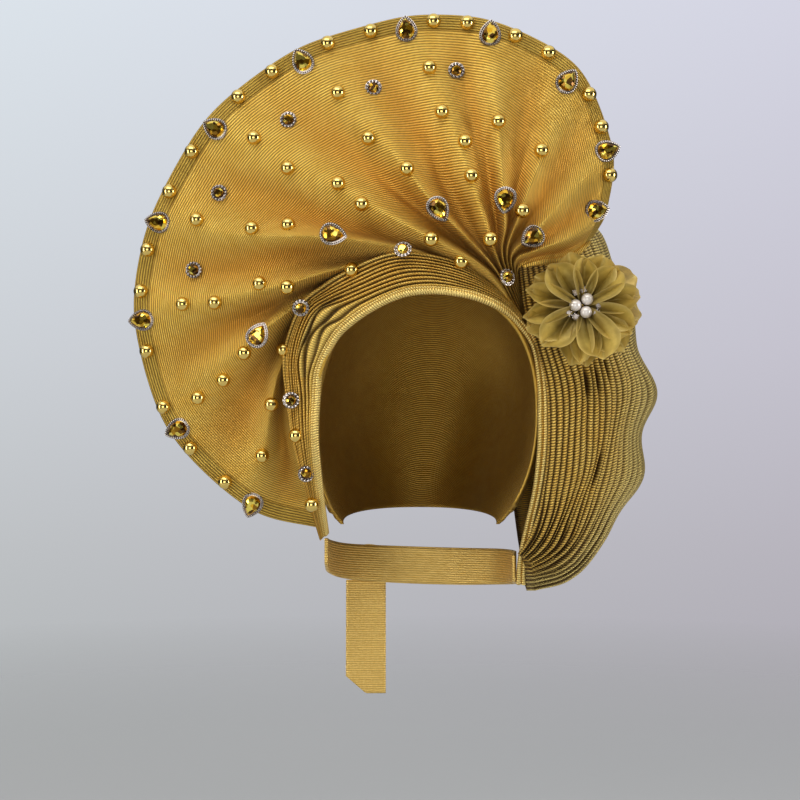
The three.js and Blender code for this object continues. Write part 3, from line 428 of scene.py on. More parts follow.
brow_satin = gold_satin("brow_satin", (0.98, 0.63, 0.13), (0.86, 0.49, 0.075), (0.04, 0.012, 0.001),
                        0.42, 0.32, painted_glow=(1.0, 0.7, 0.17))
brow_front, brow_back, brow_uv, brow_painted_shade, brow_painted_highlight = [], [], [], [], []
stations = np.linspace(0, BROW_END, BROW["stations"])
brow_spread, brow_bulge = brow_frame(stations)
brow_start = edge_at(stations) + brow_spread * (roll_at(stations) + BROW["gap"])[:, None]
brow_stop = outer_at(stations)
run = distances((brow_start + brow_stop) / 2, 0)
# The grooves sway along the brow, and the inner ones wander most at the corner.
groove_numbers = np.arange(len(EVEN))
for k, s in enumerate(stations):
    corner = math.exp(-((s - BROW["corner"]) / BROW["corner_reach"]) ** 2)
    sway = 0.016 * np.sin(EVEN * math.pi) * np.sin(2.1 * s + 5 * EVEN)
    loose = 0.06 * corner * np.sin(3.6 * s + 2.2 * groove_numbers)
    loose *= (groove_numbers > 0) & (groove_numbers < 4)
    bounds = np.sort(mix(EVEN, BROAD, corner) + sway + loose)
    w = across_grooves(bounds, BROW["steps"])
    rise, which = ridges(bounds, w, 0.7)
    tall = BROW["ridge"] * (1 + 0.35 * corner * (which < 3)) * (0.85 + 0.15 * np.sin(1.7 * which + 0.8 * s))
    gap = parting(s, w, bounds, PARTED)
    bulge = BROW["bulge"] * np.sin(math.pi * np.clip(w, 0, 1))
    lift = bulge + rise * tall * (1 - 0.7 * np.minimum(gap, 1))
    base = brow_start[k] + (brow_stop[k] - brow_start[k]) * w[:, None]
    brow_front.append(base + brow_bulge[k] * lift[:, None])
    brow_back.append(base + brow_bulge[k] * (bulge - BROW["wall"])[:, None])
    over_ridge = (w - bounds[which]) / (bounds[which + 1] - bounds[which])
    brow_uv.append(np.stack([run[k] / BROW["pitch"] + 0.35 * which + 0.8 * over_ridge, w * 30], -1))
    # Painted shade darkens the grooves and the gaps where folds part. Painted highlight lightens the inner
    # folds, most at the corner, and the outermost ones over the top.
    brow_painted_shade.append(np.clip(np.maximum(1.7 * (1 - rise) ** 1.1, 1.9 * gap), 0, 1))
    inner = (which < mix(1, 4, corner)) * mix(0.4, 1, corner)
    outermost = (which > 8) * math.exp(-((s - BROW["top"]) / BROW["top_reach"]) ** 2)
    brow_painted_highlight.append(np.maximum(inner, outermost))
brow = cloth_wall("brow_cloth", brow_front, brow_back, brow_uv, brow_satin, brow_painted_shade, painted_light=brow_painted_highlight)
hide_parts("brow_pleats")

# The rolled edge frames the opening. It is the cloth's own edge, turned over and pressed into two
# soft rolls side by side: over the top the inner one is the broader, and down the right side both
# are narrow.
ROLL = dict(stations=420, sides=14, half_thick=2.3, sway=0.25, pitch=1.6, turn=11.5, turn_length=2.5,
            foot=18, foot_length=3, foot_extra=2.2)
# Where a roll's middle lies across the edge and half its width, over the top and down the right side.
ROLLS = dict(inner=((0.5, 0.32), (0.58, 0.33)), outer=((1.12, 0.92), (0.34, 0.33)))


# The faces between closed rings of points.
def ring_quads(rings, count):
    at = numbered(rings, count)
    return quads(np.column_stack([at, at[:, 0]])).tolist()


# A soft roll along a line, its section an oval of the given half widths.
def rolled(name, centres, across, facing, half_across, half_facing, material, pitch):
    sides = ROLL["sides"]
    angle = np.linspace(0, 2 * math.pi, sides, endpoint=False)
    ring = (np.cos(angle)[None, :, None] * across[:, None] * half_across[:, None, None]
            + np.sin(angle)[None, :, None] * facing[:, None] * half_facing[:, None, None])
    at = numbered(len(centres), sides)
    faces = ring_quads(len(centres), sides) + [at[0][::-1].tolist(), at[-1].tolist()]
    gone = distances(centres, 0)[:, None] / pitch + 0.35 * np.sin(angle + 0.8)
    uv = np.stack([gone, np.tile(angle, (len(centres), 1))], -1)
    return mesh_piece(name, (centres[:, None] + ring) * MM, faces, [material], uv, np.zeros(at.size))


# The rolls take a brighter copy of the satin: painted light.
lit_roll_satin = gold_satin("lit_roll_satin", (1.0, 0.8, 0.28), (1.0, 0.72, 0.21), (0.22, 0.09, 0.01),
                         0.75, 0.42)
stations = np.linspace(0, BROW_LAST, ROLL["stations"])
roll_spread, roll_bulge = brow_frame(stations)
roll_width = roll_at(stations)
roll_width += ROLL["foot_extra"] * np.clip((stations - ROLL["foot"]) / ROLL["foot_length"], 0, 1)
down_side = np.clip((stations - ROLL["turn"]) / ROLL["turn_length"], 0, 1)
half_thick = np.full(len(stations), ROLL["half_thick"])
for name, (middles, halves) in ROLLS.items():
    share, half = mix(*middles, down_side), mix(*halves, down_side)
    centres = edge_at(stations) + roll_spread * (roll_width * share)[:, None]
    centres += roll_bulge * (ROLL["sway"] * np.sin(stations * 2.3 + 4 * half))[:, None]
    rolled(f"brow_roll_{name}", centres, roll_spread, roll_bulge, roll_width * half,
                        half_thick, lit_roll_satin, ROLL["pitch"])
    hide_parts("brow_roll")

# The fan is the cloth gathered at the upper right and opened out into a standing pleated sheet, stiff
# enough to hold itself up. Its root is tucked in behind the brow.
# A row is a fold line: where it starts along the brow, its waist, bend and rim (x, z), the depths y at
# root, waist, bend and rim, how far it bows, the height of the fold and the dip after it.
FOLDS = [
    (3.75, (-96, -85), (-94, -109), (-73, -174), (-33, -30, -26, -8), 0, 0, 2),
    (4.1, (-102, -75), (-106, -93), (-123, -159), (-34, -34, -33, -14), -2, 4, 4),
    (6, (-99, -39), (-113, -50), (-174, -108), (-42, -46, -44, -18), 3, 6, 5),
    (7.9, (-73, -13), (-94, -19), (-194, -38), (-58, -62, -58, -24), 0, 6, 6),
    (9.6, (-22, 1), (-64, 8), (-184, 23), (-70, -74, -70, -28), -3, 6, 6),
    (13, (28, -14), (-6, 7), (-146, 88), (-66, -78, -76, -34), 0, 6, 6),
    (13.12, (31, -10), (-1, 24), (-89, 130), (-66, -80, -76, -40), 3, 5, 6),
    (13.26, (34, -7), (26, 17), (-22, 149), (-66, -81, -77, -44), 3, 5, 5),
    (13.4, (36.5, -5), (38, 17), (32, 146), (-66, -82, -78, -46), 0, 4, 4),
    (13.54, (39, -4), (46, 19), (85, 117), (-66, -82, -76, -48), 0, 4, 4),
    (13.68, (41.5, -5), (53, 8), (107, 66), (-66, -82, -78, -48), 0, 4, 4),
    (13.82, (44, -7.5), (55, -1), (104, 29), (-66, -81, -80, -46), 4, 3, 2),
    (13.96, (46.5, -11), (56, -6), (97, 13), (-64, -78, -74, -38), 5, 0, 0),
]
FAN = dict(wall=1.6, hem_width=11, hem_wall=2.8, root_gap=-2, tuck_back=2.2, tuck_rise=20,
           columns=22, rows=110, crease_width=0.1, under_hem=0.004)
# Soft creases between the folds: the place u, from which v to which, the height and the sway.
CREASES = [
    (0.55, 0.2, 0.8, 1.0, 0.05), (1.5, 0.1, 0.7, 1.3, 0.06), (2.45, 0.2, 0.9, 1.1, 0.05),
    (3.5, 0.15, 0.8, 1.5, 0.06), (4.38, 0.1, 0.75, 1.8, 0.05), (4.7, 0.3, 1.0, 1.2, 0.06),
    (5.45, 0.15, 0.9, 1.7, 0.09), (6.5, 0.2, 0.7, 1.6, 0.12), (7.5, 0.3, 0.95, 1.3, 0.07),
    (8.5, 0.3, 0.9, 1.2, 0.08), (9.45, 0.3, 0.9, 1.0, 0.06),
]
# How far out along a fold line its five points lie, and how much of the fold's height each has.
LEVELS = [0, 0.12, 0.3, 0.65, 1]
LEVEL_DEPTH = [0.25, 0.6, 1, 0.75, 0.3]
LAST_FOLD = len(FOLDS) - 1


def fold_line(waist, bend, rim, y, bow):
    bend, rim = np.array(bend, float), np.array(rim, float)
    side = (rim - bend) / np.linalg.norm(rim - bend)
    middle = (bend + rim) / 2 + bow * np.array([side[1], -side[0]])
    places = [waist, bend, middle, rim]
    depths = [y[1], y[2], mix(y[2], y[3], 0.55), y[3]]
    return [(p[0], d, p[1]) for p, d in zip(places, depths)]


fold_lines = [fold_line(*row[1:6]) for row in FOLDS]
fold_starts, crests, dips = [np.array([row[i] for row in FOLDS]) for i in (0, 6, 7)]
root_depths = np.array([row[4][0] for row in FOLDS])


# The five points that the cloth runs through at each place u, counted in fold lines.
def fan_controls(u):
    u = np.atleast_1d(np.asarray(u, float))
    i = np.minimum(np.floor(u).astype(int), LAST_FOLD - 1)
    place = mix(fold_starts[i], fold_starts[i + 1], u - i)
    s = np.minimum(place, BROW_END)
    root = outer_at(s) + brow_frame(s)[0] * FAN["root_gap"]
    root[:, 1] = mix(root_depths[i], root_depths[i + 1], u - i) + FAN["tuck_back"]
    root[:, 2] += FAN["tuck_rise"] * (place - s)
    line = through(np.arange(LAST_FOLD + 1), fold_lines, u)
    return np.concatenate([root[:, None], line], axis=1)


# How far the cloth comes forward at u, v: its crests are sharp at the gather and soft at the rim.
def fan_lift(u, v):
    i = np.minimum(np.floor(u).astype(int), LAST_FOLD - 1)
    t = u - i
    near = np.where(t < 0.5, crests[i], crests[i + 1])
    steep = np.sin(math.pi * np.minimum(t, 1 - t))
    to_valley = mix(steep, steep**2, np.clip(0.3 + 0.7 * v, 0, 0.9))
    lift = mix(near, -dips[i], to_valley) * through(LEVELS, LEVEL_DEPTH, v)
    half_way = np.sin(math.pi * np.clip(v / 0.55, 0, 1)) ** 1.5
    deeper = 3.8 * dips[i] / 6 * np.sin(math.pi * t) ** 2 * half_way
    soft = 0.8 * np.sin(7 * v + 1.7 * i) * np.sin(math.pi * t) * v
    creased = sum(height * np.exp(-((u - place - sway * np.sin(11 * v)) / FAN["crease_width"]) ** 2)
                  * np.sin(math.pi * np.clip((v - first) / (last - first), 0, 1))
                  for place, first, last, height, sway in CREASES)
    return lift - deeper + soft + creased


# Points of the fan at u, v, brought forward by a thickness.
def fan_points(u, v, forward=0.0):
    u, v = np.broadcast_arrays(np.atleast_1d(u), np.atleast_1d(v))
    points = np.array([through(LEVELS, controls, level)[0] for controls, level in zip(fan_controls(u), v)])
    return points - np.stack([np.zeros(len(u)), fan_lift(u, v) + forward, np.zeros(len(u))], -1)


# The v that lies a distance in from the rim.
def level_from_rim(u, distance):
    controls = fan_controls(u)
    inner = np.array([through(LEVELS, c, LEVELS[-2])[0] for c in controls])
    length = np.linalg.norm(controls[:, -1] - inner, axis=-1) / (1 - LEVELS[-2])
    return 1 - distance / length


fan_u = np.linspace(0, LAST_FOLD, LAST_FOLD * FAN["columns"] + 1)


def fan_grid(first, last, rows, forward):
    controls = fan_controls(fan_u)
    grid = np.empty((len(fan_u), rows, 3))
    for j, u in enumerate(fan_u):
        v = mix(first[j], last[j], np.linspace(0, 1, rows))
        grid[j] = through(LEVELS, controls[j], v)
        grid[j, :, 1] -= fan_lift(np.full(rows, u), v) + forward
    return grid


fan_satin = gold_satin("fan_satin", (0.97, 0.66, 0.135), (0.87, 0.54, 0.085), (0.14, 0.05, 0.003),
                       0.8, 0.46)
hem_start = level_from_rim(fan_u, FAN["hem_width"])
fan_front = fan_grid(np.zeros(len(fan_u)), hem_start + FAN["under_hem"], FAN["rows"], 0.0)
# The ribs run parallel to the rim and are counted from it. They look finer at the lower left.
rim_run = distances(fan_front[:, ::-1], 1)[:, ::-1]
pitch = 1.45 + 0.4 / (1 + np.exp(-(fan_u - 4.6) * 2))
fan_uv = np.stack([rim_run / pitch[:, None], distances(fan_front, 0)], -1)
# Painted shade darkens the valleys near the gather, and painted warm bounce light tints them further out.
valley = np.abs(np.sin(math.pi * fan_u))[:, None]
inward = np.linspace(1, 0, FAN["rows"])
fan_painted_shade = 0.95 * valley ** 3 * np.clip((inward - 0.5) / 0.38, 0, 1) ** 1.2
painted_glow = 0.75 * valley ** 3 * np.sin(math.pi * np.clip(inward * 1.05, 0, 1)) ** 0.7
fan = cloth_wall("fan_cloth", fan_front, fan_front + np.array([0, FAN["wall"], 0]), fan_uv, fan_satin,
                 fan_painted_shade, painted_light=painted_glow)
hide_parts("fan")

# The fan's right end is turned under, which leaves a narrow rolled edge along the last fold.
END = dict(points=90, first=0.17, last=0.93, half_width=2.4, flatness=0.7, out=1.2, pitch=1.5)
end_line = fan_points(np.full(END["points"], float(LAST_FOLD)),
                      np.linspace(END["first"], END["last"], END["points"]))
end_along = unit(np.gradient(end_line, axis=0))
end_front = unit(np.cross(end_along, np.cross([0, -1, 0], end_along)))
end_side = np.cross(end_along, end_front)
end_side *= -np.sign(end_side[:, 2:3])
end_wide = END["half_width"] * np.sqrt(np.sin(math.pi * np.linspace(0.04, 0.97, END["points"])))
end_roll = rolled("fan_end_roll", end_line + end_side * END["out"], end_side, end_front, end_wide,
                  end_wide * END["flatness"], fan_satin, END["pitch"])
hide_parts("fan")

# The hem is the cloth's own edge folded over in plies all round the rim of the fan and stitched down,
# so it is thicker than the sheet. Its satin is a darker copy of the fan's, with painted shade.
HEM = dict(rows=16, proud=(FAN["hem_wall"] - FAN["wall"]) / 2, plies=8, thin=0.4, pitch=1.75)
hem_shaded_satin = gold_satin("hem_shaded_satin", (0.78, 0.52, 0.09), (0.6, 0.37, 0.055), (0.06, 0.024, 0.003), 0.9, 0.55)
hem_front = fan_grid(hem_start, np.ones(len(fan_u)), HEM["rows"], HEM["proud"])
ply = np.minimum(np.linspace(0, 1, HEM["rows"]), np.linspace(1, 0, HEM["rows"])) * HEM["plies"]
hem_front[:, :, 1] += HEM["proud"] * 1.2 * (1 - np.clip(ply, 0, 1))
hem_back = hem_front.copy()
hem_back[:, :, 1] = hem_front[:, :, 1] + FAN["hem_wall"] - HEM["thin"]
hem = cloth_wall("hem_cloth", hem_front, hem_back, weave_map(hem_front, 1, HEM["pitch"]), hem_shaded_satin,
                 np.zeros(hem_front.shape[:2]))
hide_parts("fan_hem")

# The drape hangs at the right from the gather, in narrow tube-like pleats of the same stiff satin.
# They are tucked behind the rolled edge, close up in pairs lower down and meet at the lower left.
# Rows run from the top down: the line beside the rolled edge, the outermost line, the back line.
DRAPE_ROWS = [
    ((50.35, -44, 5), (83, -4, 27), (30, 30, 12)),
    ((49.85, -52, -3), (103, -2, 20), (37, 48, 5)),
    ((50.35, -62, -18), (114, 2, -6), (46, 62, -14)),
    ((52.35, -67, -36), (123, 2, -30), (52, 76, -34)),
    ((59.35, -62, -56), (133, 6, -57), (54, 84, -58)),
    ((66.35, -55, -81), (140, 10, -85), (55, 88, -84)),
    ((67.85, -52, -109), (137, 12, -111), (54, 87, -110)),
    ((66.85, -47, -134), (132, 12, -139), (53, 80, -134)),
    ((63.85, -41, -156), (120, 8, -166), (53, 64, -156)),
    ((60.85, -36, -171), (104, 2, -193), (54, 44, -176)),
    ((57.85, -30, -181), (82, -4, -208), (55, 22, -192)),
    ((54.85, -25, -188), (59, -12, -213), (57, 2, -207)),
]
DRAPE = dict(ridges=20, back_ridges=8, ridge=2.3, wall=2.4, rows=190, steps=9, roundness=0.6, shoulder=0.9,
             first=-0.022, front_end=0.87, back_start=1.05, scallop=3.2, scallop_length=2.1, drawn_in=4.5,
             opening=0.013, pitch=1.8)
# Where two pleats part and the gap shows dark, from the gap itself and from painted shade: the row, the
# groove, and half the gap's length in rows.
OPENINGS = [(row, groove, length, DRAPE["opening"]) for row, groove, length in (
    (6.9, 10, 0.45), (9.1, 7, 0.6), (9.4, 10, 0.4), (9.0, 13, 0.35), (9.4, 15, 0.4), (9.9, 12, 0.5),
    (4.9, 7, 0.3), (4.8, 9, 0.35), (4.5, 11, 0.3), (5.6, 16, 0.3))]
drape_rows = np.array(DRAPE_ROWS, float)


# Points of the drape on row s: w runs from 0 at the rolled edge over 1 at the outermost line to 2.
def drape_points(s, w):
    front, outer, back = np.moveaxis(through(np.arange(len(DRAPE_ROWS)), drape_rows, [s])[0][:, None], 0, 0)
    a = np.where(w <= 1, w, w - 1) * math.pi / 2
    x = mix(front[:, 0], outer[:, 0], mix(w, np.sin(a), DRAPE["roundness"]))
    y = mix(outer[:, 1], front[:, 1], np.abs(np.cos(a)) ** DRAPE["shoulder"])
    ahead = np.stack([x, y, mix(front[:, 2], outer[:, 2], w)], -1)
    x = mix(back[:, 0], outer[:, 0], np.cos(a))
    y = mix(outer[:, 1], back[:, 1], np.sin(a))
    behind = np.stack([x, y, mix(outer[:, 2], back[:, 2], w - 1)], -1)
    return np.where((w <= 1)[:, None], ahead, behind)


# The front grooves are spread evenly as they are seen from the front. They sway a little on the way
# down, and low down every second ridge closes up.
tried = np.linspace(DRAPE["first"], DRAPE["front_end"], 200)
seen = mix(tried, np.sin(tried * math.pi / 2), DRAPE["roundness"])
grooves = np.interp(np.linspace(seen[0], seen[-1], DRAPE["ridges"]), seen, tried)
grooves = np.concatenate([grooves, np.linspace(DRAPE["back_start"], 2, DRAPE["back_ridges"])])
last = DRAPE["ridges"] - 1
drape_front, drape_back, drape_painted_shade, drape_painted_highlight, drape_which = [], [], [], [], []
for s in np.linspace(0, len(DRAPE_ROWS) - 1, DRAPE["rows"]):
    sway = 0.012 * np.sin(0.9 * s + 9 * grooves) + 0.008 * np.sin(2.3 * s + 17 * grooves)
    sway[[0, -1]] = 0
    low_down = np.clip((s - 7.5) / 2, 0, 1)
    front_ones = grooves < DRAPE["back_start"]
    bounds = grooves * (1 + 0.06 * low_down * front_ones) + sway * np.clip(4 * grooves, 0, 1)
    bounds[1:last:2] = mix(bounds[1:last:2], bounds[2:last + 1:2], 0.8 * low_down)
    bounds = np.sort(bounds)
    w = np.maximum(across_grooves(bounds, DRAPE["steps"]), 0)
    rise, which = ridges(bounds, w, 0.45 + 0.5 * low_down)
    gap = parting(s, w, bounds, OPENINGS)
    step = drape_points(s, np.minimum(w + 0.02, 2)) - drape_points(s, np.maximum(w - 0.02, 0))
    out = unit(np.stack([step[:, 1], -step[:, 0], np.zeros(len(w))], -1))
    tall = DRAPE["ridge"] * (0.85 + 0.2 * np.sin(2.4 * which + 0.5 * s)) * (1 + 0.55 * low_down)
    scallop = DRAPE["scallop"] * math.cos(2 * math.pi * (s - 5) / DRAPE["scallop_length"])
    scallop = scallop * np.clip(1.4 - 2.6 * np.abs(w - 1), 0, 1) * np.clip(min((s - 2) / 2, 8.6 - s), 0, 1)
    drawn_in = DRAPE["drawn_in"] * math.exp(-((s - 8.9) / 0.8) ** 2) * np.clip(1.4 - 2 * np.abs(w - 1), 0, 1)
    base = drape_points(s, w) + out * (scallop - drawn_in)[:, None]
    base[:, 0] -= (1.2 + 3.5 * np.clip((s - 8) / 3, 0, 1)) * np.clip(1 - w / 0.35, 0, 1) ** 2
    drape_front.append(base + out * (rise * tall * (1 - np.minimum(gap, 1)) - 2.1 * gap)[:, None])
    drape_back.append(base - out * DRAPE["wall"])
    # Painted shade darkens the grooves, more low down, and the openings. Painted highlight lightens the outer
    # columns at the right.
    drape_painted_shade.append(np.clip(np.maximum((1.5 + 1.1 * low_down) * (1 - rise), 1.9 * gap), 0, 1))
    drape_painted_highlight.append(0.9 * np.clip((w - 0.35) / 0.4, 0, 1) * (1 - np.clip((w - 1.2) / 0.3, 0, 1)))
    drape_which.append(which)
drape_uv = weave_map(np.array(drape_front), 0, DRAPE["pitch"])
drape_uv[..., 0] += 0.37 * np.array(drape_which)
drape_satin = gold_satin("drape_satin", (1.0, 0.69, 0.16), (0.9, 0.54, 0.09), (0.05, 0.015, 0.001),
                         0.95, 0.6, painted_glow=(1.0, 0.79, 0.26))
drape = cloth_wall("drape_cloth", drape_front, drape_back, drape_uv, drape_satin, drape_painted_shade,
                   painted_light=drape_painted_highlight)
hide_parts("side_pleats")

# The two ends of the cloth go flat round behind, low down, to a plain knot. The band is one layer,
# drawn a little crooked. Its route runs from the lower right round the back to the lower left.
NAPE_ROUTE = [(47, -17, -198), (49.5, 16, -201), (42, 48, -204), (18, 68, -206), (-12, 75, -206),
              (-42, 69, -204), (-62, 48, -200), (-71, 20, -194), (-72, -6, -188)]
BAND = dict(width=26, wall=1.8, gap=0.2, end_share=0.6, crease=0.25, points=120, rows=14, pitch=1.6)
tie_satin = gold_satin("tie_satin", (0.9, 0.63, 0.19), (0.78, 0.5, 0.12), (0.2, 0.09, 0.015), 0.45, 0.25)
route = np.array(NAPE_ROUTE, float)
lengths = np.sqrt(np.linalg.norm(np.diff(route, axis=0), axis=1))
levels = np.concatenate([[0], np.cumsum(lengths)]) / lengths.sum()
t = np.linspace(0, 1, BAND["points"])
line = through(levels, route, t)
tangent = np.gradient(line, axis=0)
side = unit(np.stack([tangent[:, 1], -tangent[:, 0], np.zeros(len(t))], -1))
half = BAND["width"] / 2 * mix(BAND["end_share"], 1, np.sqrt(np.maximum(np.sin(math.pi * t), 0)))
up = np.linspace(1, -1, BAND["rows"])
band = line[:, None] + np.array([0, 0, 1]) * (half[:, None] * up)[..., None]
crease = 0.5 * np.sin(3.4 * up + 0.6) * np.sin(9 * t)[:, None] * np.sin(math.pi * t)[:, None]
outside = band + side[:, None] * (BAND["wall"] + BAND["gap"] + BAND["crease"] * crease)[..., None]
inside = band + side[:, None] * (BAND["gap"] / 2 + BAND["crease"] * crease)[..., None]
nape = cloth_wall("nape_cloth", outside, inside, weave_map(outside, 1, BAND["pitch"]), tie_satin,
                  np.zeros(outside.shape[:2]))
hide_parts("nape_band")

# The knot is the band wound once over itself: a soft bun with creases that run round it, pulled tight
# behind at the left.
KNOT = dict(x=-46, y=80.9, z=-204, width=32, depth=16, height=25, around=60, along=41)
turn, lat = np.meshgrid(np.linspace(0, 2 * math.pi, KNOT["around"] + 1), np.linspace(-1, 1, KNOT["along"]),
                        indexing="ij")
size = np.sqrt(1 - 0.75 * lat**2) * (1 - 0.35 * np.abs(lat) ** 12)
fold = 1 - 0.07 * np.abs(np.sin(2.5 * turn + 2.2 * lat)) ** 3
knot_points = np.stack([
    KNOT["x"] + lat * KNOT["width"] / 2,
    KNOT["y"] + size * fold * KNOT["depth"] / 2 * np.cos(turn),
    KNOT["z"] + size * fold * KNOT["height"] / 2 * np.sin(turn),
], -1)
at = numbered(KNOT["around"], KNOT["along"])
knot_faces = quads(np.vstack([at, at[:1]])).tolist() + [at[:, 0].tolist(), at[::-1, -1].tolist()]
knot_uv = np.stack([lat[:-1] * 10, turn[:-1] * 12], -1)
knot = mesh_piece("knot_cloth", knot_points[:-1] * MM, knot_faces, [tie_satin], knot_uv, np.zeros(at.size))
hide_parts("tie_knot")

# One end of the cloth hangs flat from the knot, with its lower left corner cut off.
TAIL = dict(width=28, length=79, cut=12, lean=4, shift=-3, wall=1.8, gap=0.35, sway=0.7, rows=50,
            columns=18, pitch=1.6)
left = KNOT["x"] - TAIL["width"] / 2 + TAIL["shift"]
top = KNOT["z"] - KNOT["height"] / 2 - TAIL["gap"]
down, across = np.meshgrid(np.linspace(0, 1, TAIL["rows"]), np.linspace(0, 1, TAIL["columns"]),
                           indexing="ij")
cut = TAIL["cut"] * np.maximum(1 - 2 * across, 0)
tail_z = top - (TAIL["length"] - cut) * down
tail_y = KNOT["y"] - TAIL["lean"] * down + TAIL["sway"] * np.sin(5 * down) * np.sin(math.pi * across)
tail_front = np.stack([left + across * TAIL["width"], tail_y - TAIL["wall"] / 2, tail_z], -1)
tail_back = tail_front + np.array([0, TAIL["wall"], 0])
tail_uv = np.stack([(top - tail_z) / TAIL["pitch"], across * TAIL["width"]], -1)
tail = cloth_wall("tail_cloth", tail_front, tail_back, tail_uv, tie_satin, np.zeros(down.shape))
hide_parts("tie_tail")

# The domes are round-headed studs with mirror-bright gold plating, fastened through the cloth.
# RIM gives those on the hem by their place along it, and STUDS the others as they are seen from the
# front: x and z on the plane y = -50.
RIM = [1.3, 1.72, 2.16, 2.68, 3.26, 3.72, 4.3, 4.68, 5.3, 5.68, 6.24, 6.64, 7.28, 7.7, 8.26, 8.64, 9.28,
       9.66, 10.3]
STUDS = [
    (-115.3, 72.3), (-94.2, 53.7), (-63.2, 43.8), (-48.4, 31.4), (-5.6, 9.7), (-63.2, 100.2),
    (-44, 72.3), (-20.5, 53.1), (-6.8, 115.7), (1.2, 88.5), (14.9, 69.8), (19.2, 48.8), (31.6, 9.7),
    (36, 82.3), (62.6, 64.3), (50.9, 27.1), (-150.7, 21.5), (-116.6, 15.9), (-94.2, 17.8),
    (-159.3, -30.6), (-139.5, -29.4), (-111.6, -18.2), (-150, -88.3), (-134.5, -77.1),
    (-121.5, -60.4), (-110.4, -124.2), (-104.8, -92.6), (-97.3, -58.5), (-94.9, -19.5),
    (-54.6, -9.5), (13, -3.9), (-89.3, -111.8), (-80.2, -154.5),
]
STUD = dict(radius=4.6, height=4.4, raised=1.4, from_rim=5.4, plane_y=-50, around=24, rings=11)
# A stud that falls beside the cloth is pulled towards the middle or away from it, in these steps.
PULLS = (0, 1, -1, 2, -2, 3, -3, 5, -5, 8, -8)
MIDDLE_X = -40
clothes = [BVHTree.FromObject(o, bpy.context.evaluated_depsgraph_get()) for o in (fan, hem, brow)]


# Where the line of sight through x, z first meets the cloth.
def cloth_seen(x, z):
    way = (Vector((x, STUD["plane_y"], z)) * MM - EYE).normalized()
    found = [tree.ray_cast(EYE, way) for tree in clothes]
    found = [hit for hit in found if hit[0] is not None]
    return min(found, key=lambda hit: hit[3]) if found else None


# The way the cloth faces round a place, from eight looks at it and a share of straight ahead.
def facing_at(x, z, radius):
    total = Vector((0, -0.6, 0))
    for a in np.arange(8) * math.pi / 4:
        hit = cloth_seen(x + radius * math.cos(a), z + radius * math.sin(a))
        if hit:
            total += hit[1] if hit[1].y < 0 else -hit[1]
    return total.normalized()


# Points in millimetres, turned and moved to their place.
def placed(points, place, basis):
    return [basis @ (Vector(p) * MM) + place for p in points]


# One mesh from many parts: each has its points, its faces and its material's number.
def merged(name, parts, materials, smooth=True):
    points, faces, chosen = [], [], []
    for part_points, part_faces, material in parts:
        start = len(points)
        points += [tuple(p) for p in part_points]
        faces += [[start + i for i in face] for face in part_faces]
        chosen += [material] * len(part_faces)
    return mesh_piece(name, points, faces, materials, smooth=smooth, chosen=chosen)


seats = []
for x, z in STUDS:
    hit = next(h for pull in PULLS
               if (h := cloth_seen(x + pull * np.sign(MIDDLE_X - x), z + pull * np.sign(-z))))
    seats.append((hit[0], facing_at(x, z, STUD["radius"])))
for u in RIM:
    v = level_from_rim([u], STUD["from_rim"])[0]
    point, ahead, out = fan_points([u, u + 0.05, u], [v, v, 1.0], HEM["proud"])
    facing = np.cross(ahead - point, out - point)
    facing = -facing if facing[1] > 0 else facing
    seats.append((Vector(point * MM), Vector(facing).normalized()))

around, rings = STUD["around"], STUD["rings"]
dome = [[math.cos(2 * math.pi * k / around) * STUD["radius"] * math.cos(b),
         math.sin(2 * math.pi * k / around) * STUD["radius"] * math.cos(b),
         STUD["height"] * math.sin(b) + STUD["raised"]]
        for b in np.linspace(-0.55, 1.4, rings) for k in range(around)]
dome.append([0, 0, STUD["height"] + STUD["raised"]])
last_ring = (rings - 1) * around
dome_faces = ring_quads(rings, around)
dome_faces += [(last_ring + k, last_ring + (k + 1) % around, rings * around) for k in range(around)]
dome_faces.append(tuple(range(around - 1, -1, -1)))
plate = Graph(bpy.data.materials.new("gold_plate"))
speck = plate.noise(Scale=900.0, Detail=2.0)
plate_tone = plate.blend(speck, (0.78, 0.53, 0.12, 1), (0.88, 0.67, 0.22, 1))
plate_rough = plate.value("MULTIPLY_ADD", speck, 0.05, 0.03)
gold_plate = plate.finish(Base_Color=plate_tone, Metallic=1.0, Roughness=plate_rough)
merged("gold_domes", [(placed(dome, place, facing.to_track_quat("Z", "Y").to_matrix()), dome_faces, 0)
                      for place, facing in seats], [gold_plate])

# The crystals are amber glass over gold foil, cut with a table and two rows of facets. Each is set in
# a grey metal rim with a close ring of tiny silver beads, and stitched to the cloth.
# TURNS gives the way in which each one's point looks, in degrees.
TURNS = dict(rim_pear=[250, 205, 185, 170, 150, 120, 95, 85, 55, 20, 10], inner_pear=[350, 60, 300, 265, 215],
             valley_round=[0, 0, 0, 0, 0], brow_round=[0, 0, 0, 0, 0])
PEAR = dict(length=13.6, width=10.6, height=4.4, beads=31)
ROUND = dict(length=7, width=7, height=3.4, beads=13)
CUT = dict(sides=16, girdle=0.6, scales=(1, 1, 0.8, 0.52), heights=(0.42, 0.8))
# The metal rim's steps: how far it stands out from the stone, and how high.
SETTING = [(1.7, 0.0), (1.7, 0.9), (0.1, 1.1)]
SETTING_SIDES = 32
BEADS = dict(out=0.95, height=1.35, largest=0.85, share=0.92, around=8)
TOWARDS_FRONT = 0.35
# The amber glass's colour is painted with flashes: small cells of dark and bright amber stand in for the
# facets' reflections.
AMBER_AND_PAINTED_FLASHES = [(0.2, (0.1, 0.042, 0.002)), (0.42, (0.4, 0.19, 0.006)), (0.6, (0.95, 0.52, 0.02)),
         (0.85, (1.0, 0.8, 0.14))]

